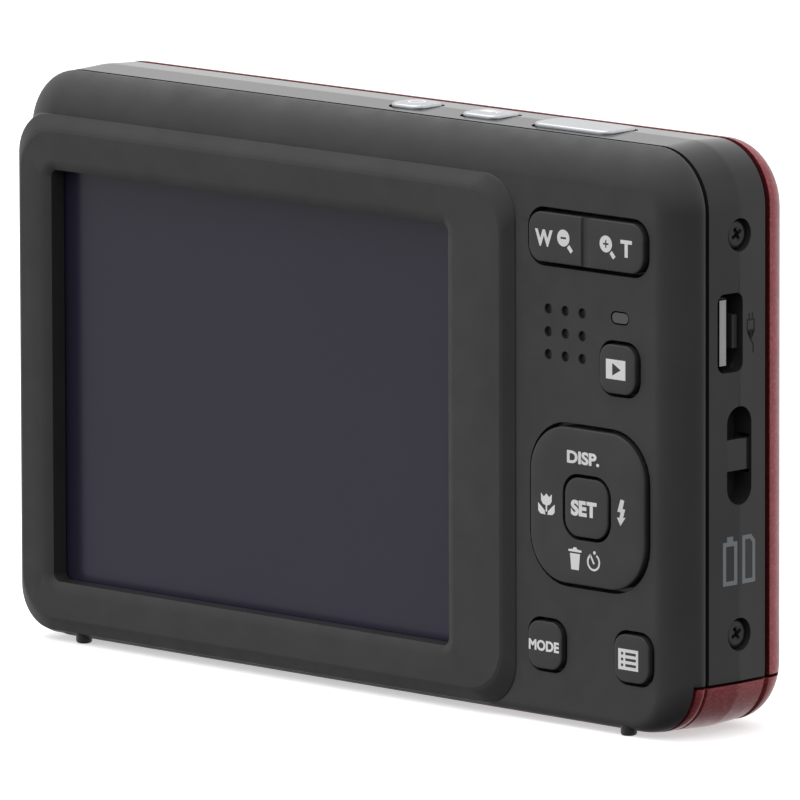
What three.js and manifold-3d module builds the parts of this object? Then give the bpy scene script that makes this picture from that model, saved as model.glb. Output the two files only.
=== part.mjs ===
// Compact digital camera, retracted and closed, as an assembly of separate pieces.
// Millimetres, +Z up. The camera stands on its feet at z = 0, the lens faces -Y and the screen +Y.
// Seen from behind, the grip with the controls is on the right, which is the -X side.
import * as THREE from 'three';
import { mergeVertices } from 'three/addons/utils/BufferGeometryUtils.js';
import Module from 'manifold-3d';

const wasm = await Module();
wasm.setup();

// ---------------------------------------------------------------- driving dimensions

// Body outline, seen along Y
const HALF_WIDTH = 45.4;
const BODY_BOTTOM = 0.5;
const BODY_TOP = 56.75;
const TOP_RADIUS = 6.0;
const BOTTOM_RADIUS = 5.6;
const CORNER_STEPS = 5;

// Planes along Y, from the back to the front
const BACK_JOINT = 6.6;                    // middle of the groove between back cover and frame
const BACK_GROOVE = 0.5;
const BACK_RIM = BACK_JOINT + BACK_GROOVE / 2;
const CONTROL_FACE = BACK_JOINT + 3.1;
const COVER_ROOF = CONTROL_FACE - 1.3;     // inner face of the back cover
const FRAME_REAR = BACK_JOINT - BACK_GROOVE / 2;
const FRAME_RIDGE = BACK_JOINT - 4.3;
const FRAME_FRONT = BACK_JOINT - 8.0;
const FRONT_RIM = BACK_JOINT - 8.65;
const FRONT_FACE = FRONT_RIM - 4.4;
const FRONT_ROOF = FRONT_FACE + 1.4;       // inner face of the front cover
const LENS_FRONT = -11.45;

// Shell walls
const RIDGE_HEIGHT = 0.2;                  // how far the frame's middle ridge stands out
const WALL = 1.5;
const LIP_INSET = 1.8;                     // the frame's lips run inside the two covers
const FRAME_INSET = 2.8;
const LIP_REACH = 1.2;
const BACK_EDGE = 4.0;                     // in-plane width of the back cover's rounded edge
const BACK_EDGE_BOTTOM = 1.2;              // the same along the bottom, which stays square for longer
const FRONT_EDGE = 6.0;                    // in-plane width of the front cover's rounded edge
const GAP = 0.3;

// Screen block, a low wedge on the back cover
const BLOCK = { grip: -23.66, far: 45.35, bottom: 0.5, top: 53.2, rise: 0.85, radius: 4.2 };
const BLOCK_SLOPE = { grip: 1.9, far: 1.3, bottom: 1.9, top: 2.15 };
const WINDOW = { x: 12.8, z: 26.6, width: 54.6, height: 41.1, radius: 0.8, bevel: 1.1, bevelDepth: 0.45 };

// The display behind the window
const PANE = {
  ...WINDOW,
  width: WINDOW.width + 1,
  height: WINDOW.height + 1,
  radius: 1,
  back: 7.45,
  face: 8.1,
};
const DISPLAY_POCKET = { low: [-15.3, 4.8, 4.0], high: [41.9, COVER_ROOF, 49.2] };
const PANEL = { low: [-14.9, 5.75, 4.4], high: [41.5, 7.1, 48.8] };
const PLATE = { low: [-13.4, 5.0, 6.3], high: [41.5, 5.4, 48.8] };
const PLATE_SLOT = { width: 10, bottom: 16, top: 38 };

// Controls on the back: centre, cap size, corner radius and the clearance round the cap
const BUTTON_PROUD = 0.45;
const BUTTON_ROUND = 0.25;                 // height of the step round a cap's face
const BUTTON_STEP = 0.18;
const STEM_END = 6.9;                      // where the stems meet the switches
const STEM_RADIUS = 0.8;
const FLANGE = 0.5;
const ROCKER = { x: -32.8, z: 47.2, width: 15.1, height: 4.8, radius: 1.6, clear: 0.45 };
const PLAY = { x: -36.93, z: 35.4, width: 4.7, height: 4.7, radius: 1.4, clear: 0.36 };
const PAD = { x: -32.95, z: 21.6, width: 15.1, height: 15.1, radius: 4.6, clear: 0.4 };
const SET = { x: PAD.x, z: PAD.z, width: 5.7, height: 5.7, radius: 1.7, clear: 0.33 };
const MODE = { x: -27.3, z: 7.68, width: 4.5, height: 4.6, radius: 1.4, clear: 0.36 };
const MENU = { x: -38.75, z: 7.7, width: 4.6, height: 4.6, radius: 1.4, clear: 0.36 };
const LAMP = { x: -36.9, z: 40.3, width: 2.1, height: 1.0, radius: 0.49 };
const SPEAKER = { x: -29.7, z: 38.06, pitchX: 2.24, pitchZ: 2.2, holeRadius: 0.5, radius: 4.1 };

// Buttons on the top of the frame
const TOP_BUTTON_Z = 57.25;
const TOP_BUTTON_Y = 3.0;
const POWER = { x: -3.4, width: 4.4, depth: 4.0, radius: 1.3 };
const VIDEO = { x: -13.4, width: 4.8, depth: 4.0, radius: 1.0 };
const SHUTTER = { x: -25.9, width: 10.2, depth: 4.7, radius: 1.2 };

// Side of the grip
const SCREW = {
  holeRadius: 1.6,
  headRadius: 1.4,
  headHeight: 0.8,
  recess: 1.3,
  shankRadius: 0.75,
  upper: 48.4,
  lower: 9.95,
};
const SCREW_DEPTH = 0.25;                  // how far the heads lie below the surface
const BOTTOM_SCREWS = [-6, 36];
const USB = { y: 3.57, z: 39.1, width: 3.36, height: 7.6, radius: 0.9 };
const USB_SHELL = {
  mouth: 0.35,
  arms: 1.55,
  depth: 4.0,
  low: 2.25,
  lip: 3.65,
  high: 4.55,
  height: 6.3,
  wall: 0.3,
};
const USB_TONGUE = { mouth: 0.4, depth: 3.9, low: 2.1, high: 2.8, height: 3.2 };
const EYELET = { z: 27.2, width: 3.4, height: 9.5, depth: 2.2, barHeight: 3.1 };
const FOOT = { x: 37.2, rearY: BACK_JOINT + 2.2, frontX: -9.6, frontY: -3.2, radius: 0.8 };

// Lens
const LENS = { x: 9, z: 27.5 };
const LENS_SEGMENTS = 36;
const HOUSING = { inner: 18.8, outer: 20.2, front: -4.6, back: 2.8 };
const OUTER_BARREL = { inner: 16.9, outer: 18.5, front: -9.9, back: 1.8 };
const INNER_BARREL = { inner: 15.0, outer: 16.6, front: -10.35, back: 1.4 };
const BLADE = { opening: 6.3, radius: 6.9, pivot: 11.5, pivotRise: 1.25, front: -10.3, back: -9.95 };

// Flash and focus lamp on the front cover
const FLASH = {
  x: -22,
  z: 46.6,
  width: 12,
  height: 6.6,
  radius: 1.6,
  reflectorY: -3.6,
  reflectorFront: -4.6,
  tubeY: -2.6,
};
const FOCUS_LAMP = { x: -12.6, z: 49.0, radius: 1.6 };

// Battery door, which takes in the bottom corner of the grip
const DOOR = { hingeX: -13.2, hingeZ: 1.5, edge: -14.1, top: 5.45, back: BACK_JOINT + 1.35, front: -4.3 };
const DOOR_SKIN = 1.3;
const HINGE = {
  pinRadius: 0.4,
  holeRadius: 0.5,
  knuckle: 0.95,
  knuckleSpan: [0.0, 5.0],
  lug: 0.8,
  lugSpans: [[-1.2, -0.3], [5.3, 6.2]],
};

// Battery and card, inside the grip
const BAY = { left: -41.0, right: -12.9, back: 2.3, front: -4.4, bottom: 5.9, top: 42.9, wall: 0.45 };
const CARD = { x: -26.5, z: 21.4, width: 24, height: 32, back: 4.75, front: 2.65 };

// Boards, as their lowest and highest corners
const MAIN_BOARD = { low: [-10.5, 3.9, 7], high: [42.2, 4.7, 50] };
const KEYPAD_BOARD = { low: [-41.6, 5.6, 6], high: [-17, 6.2, 50] };
const TOP_BOARD = { low: [-32, 0.6, 51.2], high: [-1, 4.4, 51.8] };
const CHIPS = [
  { x: -2, width: 9, height: 12 },
  { x: 13, width: 8, height: 14 },
  { x: 28, width: 9, height: 9 },
];
const CHIP_Z = 27;

// Tripod bush
const BUSH = { x: LENS.x, y: 2.3, radius: 2.9, bore: 2.5, top: 5.9 };

// ---------------------------------------------------------------- materials

function material(color, roughness, metalness = 0) {
  return new THREE.MeshStandardMaterial({ color, roughness, metalness });
}

const MATTE_BLACK = material(0x3c3c3d, 0.6);
const BUTTON_BLACK = material(0x39393a, 0.55);
const GLOSS_BLACK = material(0x2a2a2b, 0.18);
const RED_METAL = material(0x8a3a3e, 0.35, 0.6);
const SILVER = material(0xd2d5d8, 0.3, 0.8);
const STEEL = material(0x9a9ca0, 0.35, 1);
const DARK_STEEL = material(0x2c2c2e, 0.4, 0.8);
const BARREL_GREY = material(0x6c6e72, 0.35, 0.7);
const SCREEN = material(0x24222b, 0.12);
const GLASS = material(0xbfd0dc, 0.05);
const BOARD_GREEN = material(0x1f4d34, 0.5);
const PLASTIC_WHITE = material(0xd8d8d4, 0.5);
const BATTERY_GREY = material(0x55585c, 0.5);
const ORANGE = material(0xc86a24, 0.5);
const BRASS = material(0xb89a58, 0.35, 0.9);

// ---------------------------------------------------------------- solids

// A closed geometry as a manifold-3d solid.
function solid(geometry) {
  const bare = geometry.clone();
  bare.deleteAttribute('normal');
  bare.deleteAttribute('uv');
  const merged = mergeVertices(bare, 1e-4);
  return new wasm.Manifold(new wasm.Mesh({
    numProp: 3,
    vertProperties: merged.attributes.position.array,
    triVerts: new Uint32Array(merged.index.array),
  }));
}

// A manifold-3d solid as a geometry.
function geometryOf(body) {
  const mesh = body.getMesh();
  const geometry = new THREE.BufferGeometry();
  geometry.setAttribute('position', new THREE.BufferAttribute(mesh.vertProperties, 3));
  geometry.setIndex(new THREE.BufferAttribute(mesh.triVerts, 1));
  geometry.computeVertexNormals();
  return geometry;
}

function union(...bodies) {
  return bodies.reduce((whole, body) => whole.add(body));
}

function cut(body, ...tools) {
  return tools.reduce((left, tool) => left.subtract(tool), body);
}

// A box from its lowest and highest corners.
function box(low, high) {
  const [sizeX, sizeY, sizeZ] = high.map((value, axis) => value - low[axis]);
  const [x, y, z] = high.map((value, axis) => (value + low[axis]) / 2);
  return solid(new THREE.BoxGeometry(sizeX, sizeY, sizeZ).translate(x, y, z));
}

function roundedRectangle(width, height, radius) {
  const shape = new THREE.Shape();
  const [x, y] = [width / 2, height / 2];
  const r = Math.min(radius, x - 0.01, y - 0.01);
  shape.absarc(x - r, y - r, r, 0, Math.PI / 2);
  shape.absarc(r - x, y - r, r, Math.PI / 2, Math.PI);
  shape.absarc(r - x, r - y, r, Math.PI, 1.5 * Math.PI);
  shape.absarc(x - r, r - y, r, 1.5 * Math.PI, 2 * Math.PI);
  return shape;
}

function extruded(shape, depth, curveSegments) {
  return new THREE.ExtrudeGeometry(shape, { depth, bevelEnabled: false, curveSegments });
}

// A rounded slab in the XZ plane, from y = low to y = high.
function slabY({ x, z, width, height, radius }, low, high, grow = 0, steps = 3) {
  const shape = roundedRectangle(width + 2 * grow, height + 2 * grow, radius + grow);
  return solid(extruded(shape, high - low, steps).rotateX(Math.PI / 2).translate(x, high, z));
}

// A rounded slab in the XY plane, from z = low to z = high.
function slabZ({ x, width, depth, radius }, y, low, high, grow = 0, steps = 3) {
  const shape = roundedRectangle(width + 2 * grow, depth + 2 * grow, radius + grow);
  return solid(extruded(shape, high - low, steps).translate(x, y, low));
}

// A rounded slab in the YZ plane, from x = low to x = high.
function slabX({ y, z, width, height, radius }, low, high, grow = 0, steps = 3) {
  const shape = roundedRectangle(width + 2 * grow, height + 2 * grow, radius + grow);
  const geometry = extruded(shape, high - low, steps);
  return solid(geometry.rotateX(Math.PI / 2).rotateZ(Math.PI / 2).translate(low, y, z));
}

// A cylinder along X, Y or Z between two values on that axis.
function rod(axis, radius, low, high, [a, b], segments = 20) {
  const geometry = new THREE.CylinderGeometry(radius, radius, high - low, segments);
  const middle = (low + high) / 2;
  if (axis === 'x') return solid(geometry.rotateZ(Math.PI / 2).translate(middle, a, b));
  if (axis === 'y') return solid(geometry.translate(a, middle, b));
  return solid(geometry.rotateX(Math.PI / 2).translate(a, b, middle));
}

// A body of revolution about the lens axis, from [radius, y] points that run anticlockwise.
function turned(points, segments = LENS_SEGMENTS) {
  const profile = points.map(([radius, y]) => new THREE.Vector2(radius, y));
  return solid(new THREE.LatheGeometry(profile, segments).translate(LENS.x, 0, LENS.z));
}

function ring(inner, outer, front, back, segments) {
  return turned([[inner, front], [outer, front], [outer, back], [inner, back], [inner, front]], segments);
}

function disc(radius, front, back, segments) {
  return turned([[0, front], [radius, front], [radius, back], [0, back]], segments);
}

// Points round a rectangle with its own top and bottom corner radii, anticlockwise from +X in the XZ plane.
function outline({ left, right, bottom, top, topRadius, bottomRadius }) {
  const corners = [
    [right - topRadius, top - topRadius, topRadius, 0],
    [left + topRadius, top - topRadius, topRadius, 1],
    [left + bottomRadius, bottom + bottomRadius, bottomRadius, 2],
    [right - bottomRadius, bottom + bottomRadius, bottomRadius, 3],
  ];
  return corners.flatMap(([x, z, radius, quarter]) =>
    Array.from({ length: CORNER_STEPS + 1 }, (_, step) => {
      const angle = (quarter + step / CORNER_STEPS) * Math.PI / 2;
      return [x + radius * Math.cos(angle), z + radius * Math.sin(angle)];
    }));
}

// A closed loft through sections {y, points}, given from the front (low y) to the back.
function loft(sections) {
  const count = sections[0].points.length;
  const position = [];
  const index = [];
  sections.forEach(({ y, points }) => points.forEach(([x, z]) => position.push(x, y, z)));
  for (let level = 0; level + 1 < sections.length; level += 1) {
    for (let i = 0; i < count; i += 1) {
      const a = level * count + i;
      const b = level * count + (i + 1) % count;
      index.push(a, a + count, b, b, a + count, b + count);
    }
  }
  const last = (sections.length - 1) * count;
  for (let i = 1; i + 1 < count; i += 1) {
    index.push(0, i, i + 1);
    index.push(last, last + i + 1, last + i);
  }
  const geometry = new THREE.BufferGeometry();
  geometry.setAttribute('position', new THREE.Float32BufferAttribute(position, 3));
  geometry.setIndex(index);
  return solid(geometry);
}

// The body's outline at y, moved in by inset; corners lose `loss` of their radius per mm of inset.
function bodySection(y, inset, loss = 1, bottomInset = inset) {
  return {
    y,
    points: outline({
      left: inset - HALF_WIDTH,
      right: HALF_WIDTH - inset,
      bottom: BODY_BOTTOM + bottomInset,
      top: BODY_TOP - inset,
      topRadius: TOP_RADIUS - loss * inset,
      bottomRadius: BOTTOM_RADIUS - loss * (inset + bottomInset) / 2,
    }),
  };
}

function bodyLoft(levels, loss) {
  return loft(levels.map(([y, inset]) => bodySection(y, inset, loss)));
}

// The back cover's sections, whose bottom edge turns in late and by less than the other three.
function backSection([y, inset]) {
  return bodySection(y, inset, 1, BACK_EDGE_BOTTOM * (Math.max(inset, 0) / BACK_EDGE) ** 3);
}

// The back cover's rounded edge: [y, inset] from the groove up to the control face.
function backEdge(steps) {
  const rise = CONTROL_FACE - BACK_JOINT;
  const curve = new THREE.CubicBezierCurve(
    new THREE.Vector2(0, 0.45),
    new THREE.Vector2(0, 1.35),
    new THREE.Vector2(0.55 * BACK_EDGE, rise),
    new THREE.Vector2(BACK_EDGE, rise),
  );
  return curve.getPoints(steps).map(({ x, y }) => [BACK_JOINT + y, x]);
}

// The front cover's rounded edge: [y, inset] from the groove out to the front face.
function frontEdge(steps) {
  return Array.from({ length: steps + 1 }, (_, step) => {
    const angle = step / steps * Math.PI / 2;
    const y = FRONT_RIM - 0.1 + (FRONT_FACE - FRONT_RIM + 0.1) * Math.sin(angle);
    return [y, FRONT_EDGE * (1 - Math.cos(angle))];
  });
}

const FRONT_LOSS = 0.6;

// What the battery door's opening takes out of the shells.
function doorOpening() {
  return box([-HALF_WIDTH - 2, DOOR.front, -1], [DOOR.hingeX + HINGE.knuckle + GAP, DOOR.back, DOOR.top]);
}

// ---------------------------------------------------------------- back cover and screen

// One level of the screen block: `climbed` runs from 0 at the slope's foot to 1 at the face.
function blockSection(y, climbed) {
  return {
    y,
    points: outline({
      left: BLOCK.grip + BLOCK_SLOPE.grip * climbed,
      right: BLOCK.far - BLOCK_SLOPE.far * climbed,
      bottom: BLOCK.bottom + BLOCK_SLOPE.bottom * climbed,
      top: BLOCK.top - BLOCK_SLOPE.top * climbed,
      topRadius: BLOCK.radius,
      bottomRadius: BLOCK.radius,
    }),
  };
}

function screenBlock() {
  const face = CONTROL_FACE + BLOCK.rise;
  return loft([
    blockSection(COVER_ROOF - 0.6, 0),
    blockSection(CONTROL_FACE - 0.9, 0.08),
    blockSection(CONTROL_FACE + 0.1, 0.3),
    blockSection(face - 0.2, 0.8),
    blockSection(face, 1),
  ]);
}

function windowOpening() {
  const face = CONTROL_FACE + BLOCK.rise;
  const throat = slabY(WINDOW, DISPLAY_POCKET.low[1], face + 1);
  const bevelLevel = (y, grow) => ({
    y,
    points: outline({
      left: WINDOW.x - WINDOW.width / 2 - grow,
      right: WINDOW.x + WINDOW.width / 2 + grow,
      bottom: WINDOW.z - WINDOW.height / 2 - grow,
      top: WINDOW.z + WINDOW.height / 2 + grow,
      topRadius: WINDOW.radius + grow,
      bottomRadius: WINDOW.radius + grow,
    }),
  });
  const slope = WINDOW.bevel / WINDOW.bevelDepth;
  const bevel = loft([
    bevelLevel(face - WINDOW.bevelDepth, 0),
    bevelLevel(face + 0.3, WINDOW.bevel + 0.3 * slope),
  ]);
  return union(throat, bevel);
}

function foot(x, y) {
  return rod('z', FOOT.radius, 0, BODY_BOTTOM + 1.2, [x, y], 12);
}

function buttonHole(button) {
  return slabY(button, COVER_ROOF - 1, CONTROL_FACE + 1, button.clear);
}

function speakerHoles() {
  const holes = [];
  for (const column of [-1, 0, 1]) {
    for (const row of [-1, 0, 1]) {
      const at = [SPEAKER.x + column * SPEAKER.pitchX, SPEAKER.z + row * SPEAKER.pitchZ];
      holes.push(rod('y', SPEAKER.holeRadius, COVER_ROOF - 1, CONTROL_FACE + 1, at, 8));
    }
  }
  return union(...holes);
}

function backCover() {
  const outside = loft([[BACK_RIM, 0], ...backEdge(5)].map(backSection));
  const cavity = bodyLoft([
    [BACK_RIM - 1, WALL],
    [BACK_RIM + LIP_REACH + 0.3, WALL],
    [COVER_ROOF, BACK_EDGE + 0.2],
  ]);
  const shell = union(outside, screenBlock(), foot(-FOOT.x, FOOT.rearY), foot(FOOT.x, FOOT.rearY));
  const lampHole = slabY(LAMP, COVER_ROOF - 1, CONTROL_FACE + 1, 0.15);
  const holes = [ROCKER, PLAY, PAD, MODE, MENU].map(buttonHole);
  return cut(
    shell,
    cavity,
    box(DISPLAY_POCKET.low, DISPLAY_POCKET.high),
    windowOpening(),
    lampHole,
    speakerHoles(),
    doorOpening(),
    ...holes,
  );
}

function displayPlate() {
  const [back, front] = [PLATE.low[1] - 1, PLATE.high[1] + 1];
  const { width, bottom, top } = PLATE_SLOT;
  const slots = CHIPS.map(({ x }) => box([x - width / 2, back, bottom], [x + width / 2, front, top]));
  return cut(box(PLATE.low, PLATE.high), ...slots);
}

// ---------------------------------------------------------------- frame and front cover

function screwHole(x, z) {
  const out = Math.sign(x);
  const mouth = out * (HALF_WIDTH + 1);
  const seat = out * (HALF_WIDTH - SCREW.recess);
  const [low, high] = [Math.min(mouth, seat), Math.max(mouth, seat)];
  const inner = out * (HALF_WIDTH - FRAME_INSET - 1);
  const [shankLow, shankHigh] = [Math.min(inner, seat), Math.max(inner, seat)];
  return union(
    rod('x', SCREW.holeRadius, low, high, [FRAME_RIDGE, z], 16),
    rod('x', SCREW.shankRadius + 0.15, shankLow, shankHigh, [FRAME_RIDGE, z], 10),
  );
}

function bottomScrewHole(x) {
  return union(
    rod('z', SCREW.holeRadius, -1, BODY_BOTTOM + SCREW.recess, [x, FRAME_RIDGE], 16),
    rod('z', SCREW.shankRadius + 0.15, 0, BODY_BOTTOM + FRAME_INSET + 1, [x, FRAME_RIDGE], 10),
  );
}

function topButtonHole(button) {
  return slabZ(button, TOP_BUTTON_Y, BODY_TOP - FRAME_INSET - 1, BODY_TOP + 1, GAP);
}

const EYELET_SLOT = { ...EYELET, y: FRAME_RIDGE, radius: 1.6 };
const BAR_SLOT = { ...EYELET_SLOT, width: EYELET.width + 1.4, height: EYELET.barHeight, radius: 0.4 };

function hingeLugs() {
  const lug = ([low, high]) => union(
    rod('y', HINGE.lug, low, high, [DOOR.hingeX, DOOR.hingeZ], 12),
    box([DOOR.hingeX, low, DOOR.hingeZ - HINGE.lug], [DOOR.hingeX + 2.2, high, DOOR.hingeZ + HINGE.lug]),
  );
  return union(...HINGE.lugSpans.map(lug));
}

function midFrame() {
  const outside = bodyLoft([
    [FRAME_FRONT - LIP_REACH, LIP_INSET],
    [FRAME_FRONT, LIP_INSET],
    [FRAME_FRONT, 0],
    [FRAME_RIDGE, -RIDGE_HEIGHT],
    [FRAME_REAR, 0],
    [FRAME_REAR, LIP_INSET],
    [FRAME_REAR + LIP_REACH, LIP_INSET],
  ]);
  const inside = bodyLoft([[FRAME_FRONT - 3, FRAME_INSET], [FRAME_REAR + 3, FRAME_INSET]]);
  const ringBody = cut(outside, inside, doorOpening());
  const levels = [SCREW.upper, SCREW.lower];
  const sideScrews = levels.flatMap((z) => [screwHole(-HALF_WIDTH, z), screwHole(HALF_WIDTH, z)]);
  return cut(
    union(ringBody, hingeLugs()),
    rod('y', HINGE.holeRadius, -3, 8, [DOOR.hingeX, DOOR.hingeZ], 12),
    slabX(USB, -HALF_WIDTH - 2, FRAME_INSET - HALF_WIDTH + 1),
    slabX(EYELET_SLOT, -HALF_WIDTH - 2, EYELET.depth - HALF_WIDTH),
    slabX(BAR_SLOT, 0.2 - HALF_WIDTH, EYELET.depth - 0.4 - HALF_WIDTH, GAP),
    ...sideScrews,
    ...BOTTOM_SCREWS.map(bottomScrewHole),
    rod('z', BUSH.radius + GAP, -1, 6, [BUSH.x, BUSH.y], 24),
    ...[POWER, VIDEO, SHUTTER].map(topButtonHole),
  );
}

function frontCover() {
  const outside = bodyLoft([...frontEdge(6).reverse(), [FRONT_RIM, 0]], FRONT_LOSS);
  const cavity = bodyLoft([
    [FRONT_ROOF, 5.2],
    [FRONT_ROOF + 0.7, 2.4],
    [FRONT_RIM - LIP_REACH, WALL],
    [FRONT_RIM + 1, WALL],
  ]);
  return cut(
    union(outside, cut(union(foot(FOOT.frontX, FOOT.frontY), foot(FOOT.x, FOOT.frontY)), cavity)),
    cavity,
    disc(OUTER_BARREL.outer + 0.4, FRONT_FACE - 2, FRONT_ROOF + 1),
    slabY(FLASH, FRONT_FACE - 2, FRONT_ROOF + 1, 0.25),
    rod('y', FOCUS_LAMP.radius + 0.2, FRONT_FACE - 2, FRONT_ROOF + 1, [FOCUS_LAMP.x, FOCUS_LAMP.z], 20),
    doorOpening(),
  );
}

// ---------------------------------------------------------------- lens

function lensTrimRing() {
  const base = FRONT_FACE - GAP;
  return turned([
    [OUTER_BARREL.outer + 0.4, base],
    [OUTER_BARREL.outer + 0.4, -9.2],
    [21.0, -9.2],
    [21.7, -8.8],
    [22.4, base - 0.6],
    [22.4, base],
    [OUTER_BARREL.outer + 0.4, base],
  ]);
}

function lensHousing() {
  const tube = ring(HOUSING.inner, HOUSING.outer, HOUSING.front, HOUSING.back);
  const wall = ring(5.5, HOUSING.outer, HOUSING.back - 0.7, HOUSING.back);
  return union(tube, wall);
}

function outerBarrel() {
  const { inner, outer, front, back } = OUTER_BARREL;
  return turned([
    [inner, front],
    [outer - 0.4, front],
    [outer, front + 0.4],
    [outer, back],
    [inner, back],
    [inner, front],
  ]);
}

function innerBarrel() {
  const tube = ring(INNER_BARREL.inner, INNER_BARREL.outer, INNER_BARREL.front, INNER_BARREL.back);
  const web = ring(8.9, INNER_BARREL.inner + 0.5, -9.2, -8.4);
  return union(tube, web);
}

// The blades turn on two posts that stand behind the front ring.
const BLADE_PIVOTS = [1, -1].map((side) => [LENS.x - side * BLADE.pivot, LENS.z + side * BLADE.pivotRise]);

function lensFrontRing() {
  const plate = turned([
    [BLADE.opening, LENS_FRONT + 0.35],
    [BLADE.opening + 1.6, LENS_FRONT],
    [INNER_BARREL.outer - 0.5, LENS_FRONT],
    [INNER_BARREL.outer, LENS_FRONT + 0.4],
    [INNER_BARREL.outer, LENS_FRONT + 0.8],
    [BLADE.opening, LENS_FRONT + 0.8],
    [BLADE.opening, LENS_FRONT + 0.35],
  ]);
  const posts = BLADE_PIVOTS.map((at) => rod('y', 0.5, LENS_FRONT + 0.5, BLADE.back + 0.2, at, 12));
  return union(plate, ...posts);
}

function barrierBlade(side) {
  const half = new THREE.Shape();
  half.absarc(0, 0, BLADE.radius, 0.03, Math.PI - 0.03);
  const arm = new THREE.Shape();
  arm.moveTo(-5.5, 0.2);
  arm.lineTo(-BLADE.pivot, 0.2);
  arm.lineTo(-BLADE.pivot, 0.2 + 2 * (BLADE.pivotRise - 0.2));
  arm.lineTo(-5.5, 3.4);
  const thickness = BLADE.back - BLADE.front;
  const flat = (shape) => solid(extruded(shape, thickness, 16).rotateX(Math.PI / 2));
  const pivot = [-BLADE.pivot, BLADE.pivotRise];
  const boss = rod('y', 1.05, -thickness, 0, pivot, 16);
  const hole = rod('y', 0.6, -1, 1, pivot, 16);
  const blade = geometryOf(cut(union(flat(half), flat(arm), boss), hole));
  if (side < 0) blade.rotateY(Math.PI);
  return solid(blade.translate(LENS.x, BLADE.back, LENS.z));
}

// A lens element: a disc with a domed front.
function lensElement(radius, front, back, dome) {
  const points = [[0, back], [radius, back], [radius, front + dome]];
  for (let step = 1; step <= 4; step += 1) {
    const angle = step / 4 * Math.PI / 2;
    points.push([radius * Math.cos(angle), front + dome * (1 - Math.sin(angle))]);
  }
  points[points.length - 1][0] = 0;
  return turned(points.reverse(), 32);
}

// ---------------------------------------------------------------- buttons

// A moulded cap with a stepped edge, a flange that stops it behind the cover, and a stem for its switch.
function backButton(button) {
  const face = CONTROL_FACE + BUTTON_PROUD;
  return union(
    slabY(button, face - BUTTON_ROUND, face, -BUTTON_STEP),
    slabY(button, COVER_ROOF - 0.8, face - 0.2),
    slabY(button, COVER_ROOF - 1.0, COVER_ROOF - 0.35, FLANGE),
    rod('y', STEM_RADIUS, STEM_END, COVER_ROOF - 0.9, [button.x, button.z], 10),
  );
}

function zoomRocker() {
  const face = CONTROL_FACE + BUTTON_PROUD;
  const body = union(
    slabY(ROCKER, face - BUTTON_ROUND, face, -BUTTON_STEP),
    slabY(ROCKER, COVER_ROOF - 0.8, face - 0.2),
    slabY(ROCKER, COVER_ROOF - 1.2, COVER_ROOF - 0.6, FLANGE - 0.05),
    rod('y', STEM_RADIUS, STEM_END, COVER_ROOF - 1.1, [ROCKER.x - 4.5, ROCKER.z], 10),
    rod('y', STEM_RADIUS, STEM_END, COVER_ROOF - 1.1, [ROCKER.x + 4.5, ROCKER.z], 10),
  );
  const divider = { ...ROCKER, width: 0.6, height: 8, radius: 0.2 };
  return cut(body, slabY(divider, face - 0.35, face + 1));
}

function padRing() {
  const face = CONTROL_FACE + BUTTON_PROUD;
  const body = union(
    slabY(PAD, face - BUTTON_ROUND, face, -BUTTON_STEP, 6),
    slabY(PAD, COVER_ROOF - 0.4, face - 0.2, 0, 6),
  );
  return cut(body, slabY(SET, 5, face + 1, SET.clear));
}

// The carrier under the ring, cut away over the set button.
function padCarrier() {
  const plate = slabY(PAD, COVER_ROOF - 1.2, COVER_ROOF - 0.7, FLANGE, 6);
  const stems = [[5.2, 0], [-5.2, 0], [0, 5.2], [0, -5.2]].map(([x, z]) =>
    rod('y', STEM_RADIUS, STEM_END, COVER_ROOF - 1.0, [PAD.x + x, PAD.z + z], 10));
  return cut(union(plate, ...stems), slabY(SET, 5, 12, SET.clear + FLANGE + 0.1));
}

function setButton() {
  const face = CONTROL_FACE + BUTTON_PROUD + 0.15;
  return union(
    slabY(SET, face - BUTTON_ROUND, face, -BUTTON_STEP),
    slabY(SET, COVER_ROOF - 1.2, face - 0.2),
    rod('y', STEM_RADIUS, STEM_END, COVER_ROOF - 1.1, [SET.x, SET.z], 10),
  );
}

function topButton(button) {
  const roof = BODY_TOP - FRAME_INSET;
  return union(
    slabZ(button, TOP_BUTTON_Y, TOP_BUTTON_Z - 0.2, TOP_BUTTON_Z, -0.2),
    slabZ(button, TOP_BUTTON_Y, roof - 0.8, TOP_BUTTON_Z - 0.15),
    slabZ(button, TOP_BUTTON_Y, roof - 1.0, roof - 0.35, FLANGE),
    rod('z', 0.7, roof - 1.65, roof - 0.9, [button.x, TOP_BUTTON_Y], 10),
  );
}

// ---------------------------------------------------------------- side fittings and screws

function crossRecess(depth) {
  const arm = (sizeY, sizeZ) => box([-depth, -sizeY / 2, -sizeZ / 2], [1, sizeY / 2, sizeZ / 2]);
  return union(arm(1.5, 0.4), arm(0.4, 1.5));
}

// A screw along +X with its head's top face at x = 0.
function screw() {
  return cut(union(
    rod('x', SCREW.headRadius, -SCREW.headHeight, 0, [0, 0], 16),
    rod('x', SCREW.shankRadius, 0.5 - FRAME_INSET, -0.5, [0, 0], 10),
  ), crossRecess(0.5));
}

// A C-shaped metal shell, open towards the lens, whose screen side reaches out to the mouth as a lip.
function usbShell() {
  const { mouth, arms, depth, low, lip, high, height, wall } = USB_SHELL;
  const half = height / 2;
  const inside = half - wall;
  const [front, step, end] = [mouth, arms, depth].map((value) => value - HALF_WIDTH);
  return union(
    box([front, lip, USB.z - half], [end, high, USB.z + half]),
    box([step, low, USB.z + inside], [end, high, USB.z + half]),
    box([step, low, USB.z - half], [end, high, USB.z - inside]),
  );
}

function usbTongue() {
  const { mouth, depth, low, high, height } = USB_TONGUE;
  const half = height / 2;
  return box([mouth - HALF_WIDTH, low, USB.z - half], [depth - HALF_WIDTH, high, USB.z + half]);
}

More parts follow.
